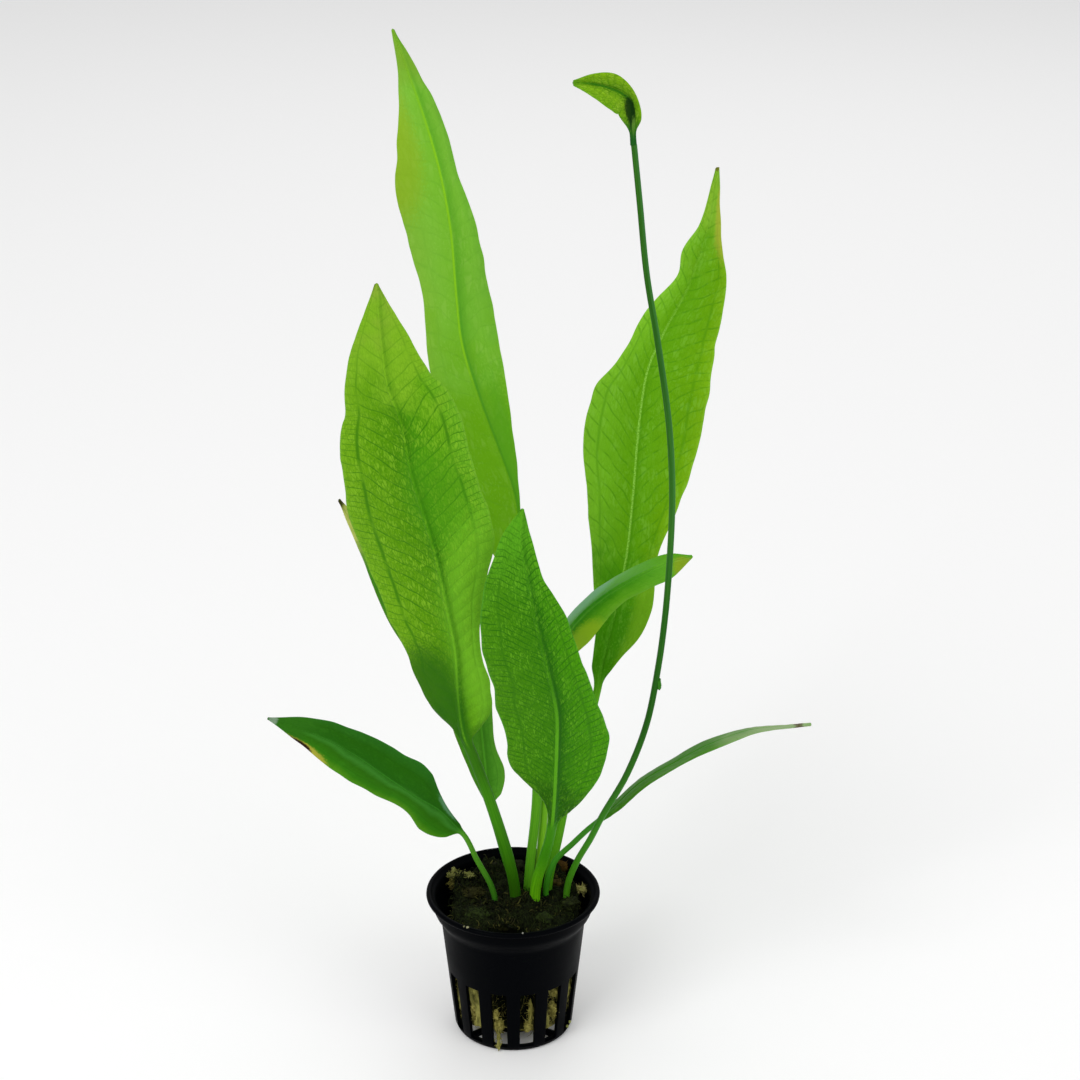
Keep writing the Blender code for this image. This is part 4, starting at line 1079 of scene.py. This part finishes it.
# The narrow leaf whose blade bends over to the right grows from the crown's back. It is young, smooth
# and a little glossy, and is seen almost along its face.
make_leaf(
    "bent_leaf", "leaf_bent_right", "leaf_upper",
    rows=[
        (7, 6.6, 35.3, 0, 0), (8.1, 7.2, 50, 0, 0), (9.7, 9.2, 74, 0, 0), (9.8, 11.5, 93.5, 0, 0),
        (11.2, 12, 113, 2.5, 3), (13.8, 11, 124, 5, 5.3), (17.3, 9, 130.5, 6.5, 6.5), (23, 7, 138.3, 7, 6),
        (29.1, 5, 144.5, 7, 4.6), (37.5, 2, 151.3, 6.5, 4.6), (46.3, 0, 156.7, 5, 4),
        (52.8, -1, 159, 0.3, 0.3),
    ],
    radii=(1.35, 1.2, 0.35), turn=(0, 15), droop=(74, 0), wave=(0.3, 3, 0.0), vein_spacing=4.0, quilt=0.06,
    seed=251,
    across=[
        (0.0, "#62A84A"), (0.25, "#52A02A"), (0.46, "#32860C"), (0.6, "#3E8C06"), (0.8, "#5EA416"),
        (1.0, "#6CAC20"),
    ],
    along=[("#5CA41E", 0.78, 0.95)],
    vein="#2F7C12", fleck=0.15, fleck_colour="#7CB83A", cross=0.2, rib="#58A428", edge="#72AC34",
    stalk_colour="#5CA81C", stalk_stripe="#479612", foot="#90D024", foot_end=75.0, roughness=0.38,
    relief=0.12, gloss=0.12,
    # The pale bluish spot on the left edge is a painted sheen.
    spots=[
        (-0.9, 0.73, 0.7, 0.09, 0.2, 0.75, "#74AE84"), (0.8, 0.68, 0.7, 0.07, 0.2, 0.75, "#98BC20"),
        (0.7, 0.975, 1.2, 0.025, 0.2, 0.6, "#98A41C"),
    ],
)


# The low leaf that reaches out to the left grows from the crown's left end. It is an older leaf, dark
# and smooth, with its lower edge torn and browned near the tip.
make_leaf(
    "low_left_leaf", "leaf_low_left", "leaf_dark",
    rows=[
        (-4.2, 1.8, 35.3, 0, 0), (-6.5, 1.2, 46.5, 0, 0), (-11, -2, 58.5, 0, 0), (-15, -5.5, 69.5, 1, 1),
        (-17.9, -7, 73.8, 6.2, 1.5), (-21.9, -9, 79.5, 8.4, 2.7), (-28.2, -12, 85.5, 5.5, 8.3),
        (-37.7, -15, 94.5, 6.4, 8.3), (-47.6, -18, 104, 7.3, 6.6), (-58.8, -21, 112, 4.5, 4.3),
        (-70.6, -23, 117.5, 0.3, 0.3),
    ],
    radii=(0.95, 0.85, 0.35), turn=(-10, -35), droop=(5, 5), wave=(0.5, 3, 1.5), vein_spacing=5.0,
    quilt=0.05, seed=261,
    across=[
        (0.0, "#4C8812"), (0.14, "#2E7208"), (0.32, "#286404"), (0.42, "#367822"), (0.54, "#205E06"),
        (0.8, "#205C02"), (1.0, "#266618"),
    ],
    along=[("#2A660E", 0.8, 0.95)],
    vein="#185204", fleck=0.15, fleck_colour="#3F8820", cross=0.15, rib="#2F7418", rib_shade=0.3,
    edge="#3F8834", stalk_colour="#569A26", stalk_stripe="#3A8420", foot="#2E6E12", foot_end=18.0,
    roughness=0.4, relief=0.12,
    spots=[
        (-1.0, 0.865, 0.3, 0.075, 0.3, 0.85, "#A9A238"), (-1.0, 0.89, 0.2, 0.038, 0.5, 1.0, "#2B1A0E"),
        (0.0, 0.985, 1.5, 0.014, 0.2, 0.7, "#8CA08C"), (0.9, 0.42, 0.5, 0.05, 0.2, 0.5, "#6FA07C"),
    ],
)


# The low narrow leaf that reaches out to the right grows from the crown's right half. It is seen nearly
# edge-on, and has a brown mark at its tip.
make_leaf(
    "low_right_leaf", "leaf_low_right", "leaf_dark",
    rows=[
        (10.4, 2.2, 35.3, 0, 0), (10.4, 2.6, 47.5, 0, 0), (12.9, 3.2, 55, 0, 0), (18.4, 3.6, 61, 0, 0),
        (23.1, 4, 65.8, 0, 0), (26.9, 4, 69.3, 1.4, 1.6), (31.6, 5, 73.4, 3, 3.6), (38.7, 6, 80.3, 4.8, 5),
        (49.4, 8, 86.5, 5.4, 6), (59.9, 9, 92.2, 5, 5.8), (72.1, 10, 96.6, 4.6, 5.2),
        (84.2, 10, 98.1, 3, 3), (90.9, 10, 98.9, 0.3, 0.3),
    ],
    radii=(0.95, 0.85, 0.35), turn=(88, 108), droop=(0, 0), wave=(0.4, 3, 0.8), vein_spacing=4.0,
    quilt=0.05, seed=271,
    across=[(0.0, "#4A8030"), (0.3, "#427C24"), (0.5, "#38780A"), (0.7, "#3A7A04"), (1.0, "#468414")],
    along=[("#8CA870", 0.7, 0.88)],
    vein="#2A7412", fleck=0.2, fleck_colour="#6AAA40", cross=0.15, rib="#4C9430", rib_fade=(0.8, 0.95),
    rib_shade=0.2, edge="#5C9A48", stalk_colour="#448E2A", stalk_stripe="#357E22", foot="#3C8A14",
    roughness=0.4, relief=0.12,
    spots=[(0.0, 0.965, 1.2, 0.014, 0.5, 0.9, "#4A2C14")],
)


# The tall stem grows from the crown's right end: live stem, bare, round and slightly ribbed. It is
# yellow-green low down and darkest between a third and a half of its height. Above the middle a
# highlight is painted paler on its right side. A small scale sits against it at about two fifths.
STEM_PATH = [
    (16.3, 1.8, 35.3), (16.9, 1.2, 48), (19.6, -0.6, 57), (23.8, -2.4, 66.3), (26.6, -3.8, 73.5),
    (34.3, -6, 90), (39.7, -7, 106.5), (43, -8, 126.5), (44.8, -9, 145), (45.7, -9, 162.5), (46, -9, 180),
    (45.1, -8, 198), (41.1, -7, 226.5), (37.8, -5, 245.5), (35.6, -3, 265.5), (33.9, -0.7, 280.9),
]
STEM_RADII = (1.0, 0.85)
STEM_COLOURS = [
    (0.0, "#4E8E12"), (0.12, "#3C861A"), (0.3, "#1C580A"), (0.46, "#1E5A0C"), (0.55, "#2C661A"),
    (0.75, "#20560C"), (1.0, "#245A0C"),
]
STEM_STREAK = "#3C7A22"
STEM_PAINTED_HIGHLIGHT = "#468A48"
SCALE_AT = 0.36
SCALE_SHIFT = (1.0, -0.4, 0)
SCALE_HALF_SIZES = (0.7, 0.7, 2.0)


def stem_surface(rows=400, around=24):
    """A tube round a smooth path, tapering evenly, with five low ribs that wind slowly round it."""
    path = np.array(STEM_PATH, float)
    travel = travel_along(path)
    s = np.linspace(0, 1, rows)
    middle = through(travel / travel[-1], path, s)
    sideways, front = path_frame(middle, s)
    angle = evenly_round(around)
    ring = sideways[:, None] * np.cos(angle)[:, None] + front[:, None] * np.sin(angle)[:, None]
    radius = np.linspace(*STEM_RADII, rows)[:, None] * (1 + 0.04 * np.cos(5 * angle + 6 * s[:, None]))
    points = middle[:, None] + radius[..., None] * ring
    up, side = np.repeat(s, around), np.tile(np.cos(angle), rows)
    values = {"up": np.append(up, [0, 1]), "side": np.append(side, [0, 0])}
    points = np.concatenate([points.reshape(-1, 3), middle[[0, -1]]])
    return points, ring_faces(rows, around), values, middle[round(SCALE_AT * (rows - 1))]


def stem_tissue():
    """Live stem: a smooth waxy skin, its colour changing up its length, with fine lengthwise streaks."""
    material, node, shader = new_material("stem_tissue")
    up, side = (node("Attribute", attribute_name=key, out="Fac") for key in ("up", "side"))
    colour = node("ValToRGB", up, stops=STEM_COLOURS)
    place = node("Mapping", node("CombineXYZ", side, up, 0.0), Scale=(3.0, 14.0, 1.0))
    streak = node("MapRange", node("TexNoise", place, 1.0, 3.0), 0.45, 0.7, 0.0, 0.5)
    colour = node("Mix", streak, colour, STEM_STREAK, **RGBA)
    # A painted highlight: the right side of the stem is made paler above the middle.
    above = node("MapRange", up, 0.5, 0.6, 0.0, 0.4)
    paler = node("MapRange", side, 0.0, 0.9, 0.0, above)
    colour = node("Mix", paler, colour, STEM_PAINTED_HIGHLIGHT, **RGBA)
    feed(shader, Base_Color=colour, Roughness=0.42, Specular_IOR_Level=0.1)
    return material


stem_points, stem_faces, stem_values, scale_foot = stem_surface()
stem_skin = stem_tissue()
stem = put_mesh("tall_stem_skin", stem_points, stem_faces, stem_skin, **stem_values)
join_part(stem, "tall_stem")

scale_points, scale_faces = clod(scale_foot + SCALE_SHIFT, np.array(SCALE_HALF_SIZES), 141, 16, 20)
scale_values = {"up": np.full(len(scale_points), 0.2), "side": np.zeros(len(scale_points))}
join_part(put_mesh("stem_scale", scale_points, scale_faces, stem_skin, **scale_values))


# The young leaf grows on from the tip of the stem. It is still folded along its midrib; the crease of
# the fold and the hollow at its foot are painted dark, as shade.
make_leaf(
    "stem_tip_young_leaf", "stem_tip_leaf", "stem",
    rows=[
        (33.8, -0.6, 280.8, 0, 0), (33.5, -0.2, 285.4, 2.2, 1.9), (33.4, -0.8, 289.5, 3.8, 2.6),
        (32.6, -2, 293.4, 5, 2.4), (30.3, -4, 295.8, 5.6, 3.5), (26.6, -6, 297.8, 5.2, 4.6),
        (22, -8, 299.3, 3.6, 3.1), (17.2, -10, 300, 0.8, 0.8),
    ],
    radii=(1.1, 0.9, 0.4), turn=(0, -20), droop=(-20, -30), wave=(0.0, 1, 0.0), vein_spacing=2.2,
    quilt=0.12, seed=281,
    # Painted shade: the dark middle of across and the dark midrib for the crease, and the dark stop low in
    # along and the near black spot for the hollow at the foot.
    across=[(0.0, "#649C06"), (0.3, "#7AAA14"), (0.5, "#4C8604"), (0.62, "#6E9E0A"), (1.0, "#76A60E")],
    along=[("#5A9414", 0.9, 1.0), ("#2A6A12", 0.3, 0.1)],
    vein="#336E04", fleck=0.55, fleck_colour="#98BE38", net=0.45, net_scale=1.0, cross=0.5, rib="#2F6E08",
    rib_width=0.4, rib_fade=(0.8, 0.95), rib_shade=0.7, edge="#7EAA3A", stalk_colour="#1E5E1C",
    stalk_stripe="#123F0C", foot="#1E5E1C", relief=0.35,
    spots=[(-0.1, 0.3, 0.5, 0.2, 0.3, 0.95, "#0C2F06"), (0.1, 0.14, 0.25, 0.12, 0.2, 0.7, "#6C9A34")],
)


# A plain pale floor, soft light from large lamps, and a camera in front that looks down on the plant.
FLOOR_SIZE = 9000.0
FLOOR_COLOUR = "#FBFBFB"
CAMERA_PLACE = (0.0083, -0.680, 0.4491)
CAMERA_TILT = 67.238
CAMERA_LENS = 84.56
SENSOR_WIDTH = 36
SKY_STRENGTH = 0.67
LAMPS = (
    ("key_lamp", (-0.7, -0.9, 1.3), 0.9, 10),
    ("fill_lamp", (1.0, -0.8, 0.9), 1.0, 4),
    ("back_lamp", (0.2, 1.2, 1.2), 1.0, 3),
)
LAMP_TARGET = (0, 0, 0.15)


def painted_floor():
    """Matt white paint."""
    material, _, shader = new_material("matt_white_paint")
    feed(shader, Base_Color=FLOOR_COLOUR, Roughness=0.9, Specular_IOR_Level=0.1)
    return material


floor_corners = FLOOR_SIZE / 2 * np.array([(-1, -1, 0), (1, -1, 0), (1, 1, 0), (-1, 1, 0)])
put_mesh("floor", floor_corners, [np.array([[0, 1, 2, 3]])], painted_floor())

world = bpy.data.worlds.new("studio")
world.use_nodes = True
feed(world.node_tree.nodes["Background"], Color=(1, 1, 1, 1), Strength=SKY_STRENGTH)
bpy.context.scene.world = world

for name, place, size, power in LAMPS:
    lamp_data = bpy.data.lights.new(name, "AREA")
    lamp_data.size = size
    lamp_data.energy = power
    lamp = bpy.data.objects.new(name, lamp_data)
    lamp.location = place
    aim = np.subtract(LAMP_TARGET, place)
    tilt = math.atan2(np.hypot(*aim[:2]), -aim[2])
    lamp.rotation_euler = (tilt, 0, math.atan2(aim[1], aim[0]) - math.pi / 2)
    bpy.context.scene.collection.objects.link(lamp)

camera_data = bpy.data.cameras.new("camera")
camera_data.lens = CAMERA_LENS
camera_data.sensor_width = SENSOR_WIDTH
camera = bpy.data.objects.new("camera", camera_data)
camera.location = CAMERA_PLACE
camera.rotation_euler = (math.radians(CAMERA_TILT), 0, 0)
bpy.context.scene.collection.objects.link(camera)
bpy.context.scene.camera = camera
bpy.context.scene.view_settings.view_transform = "Standard"
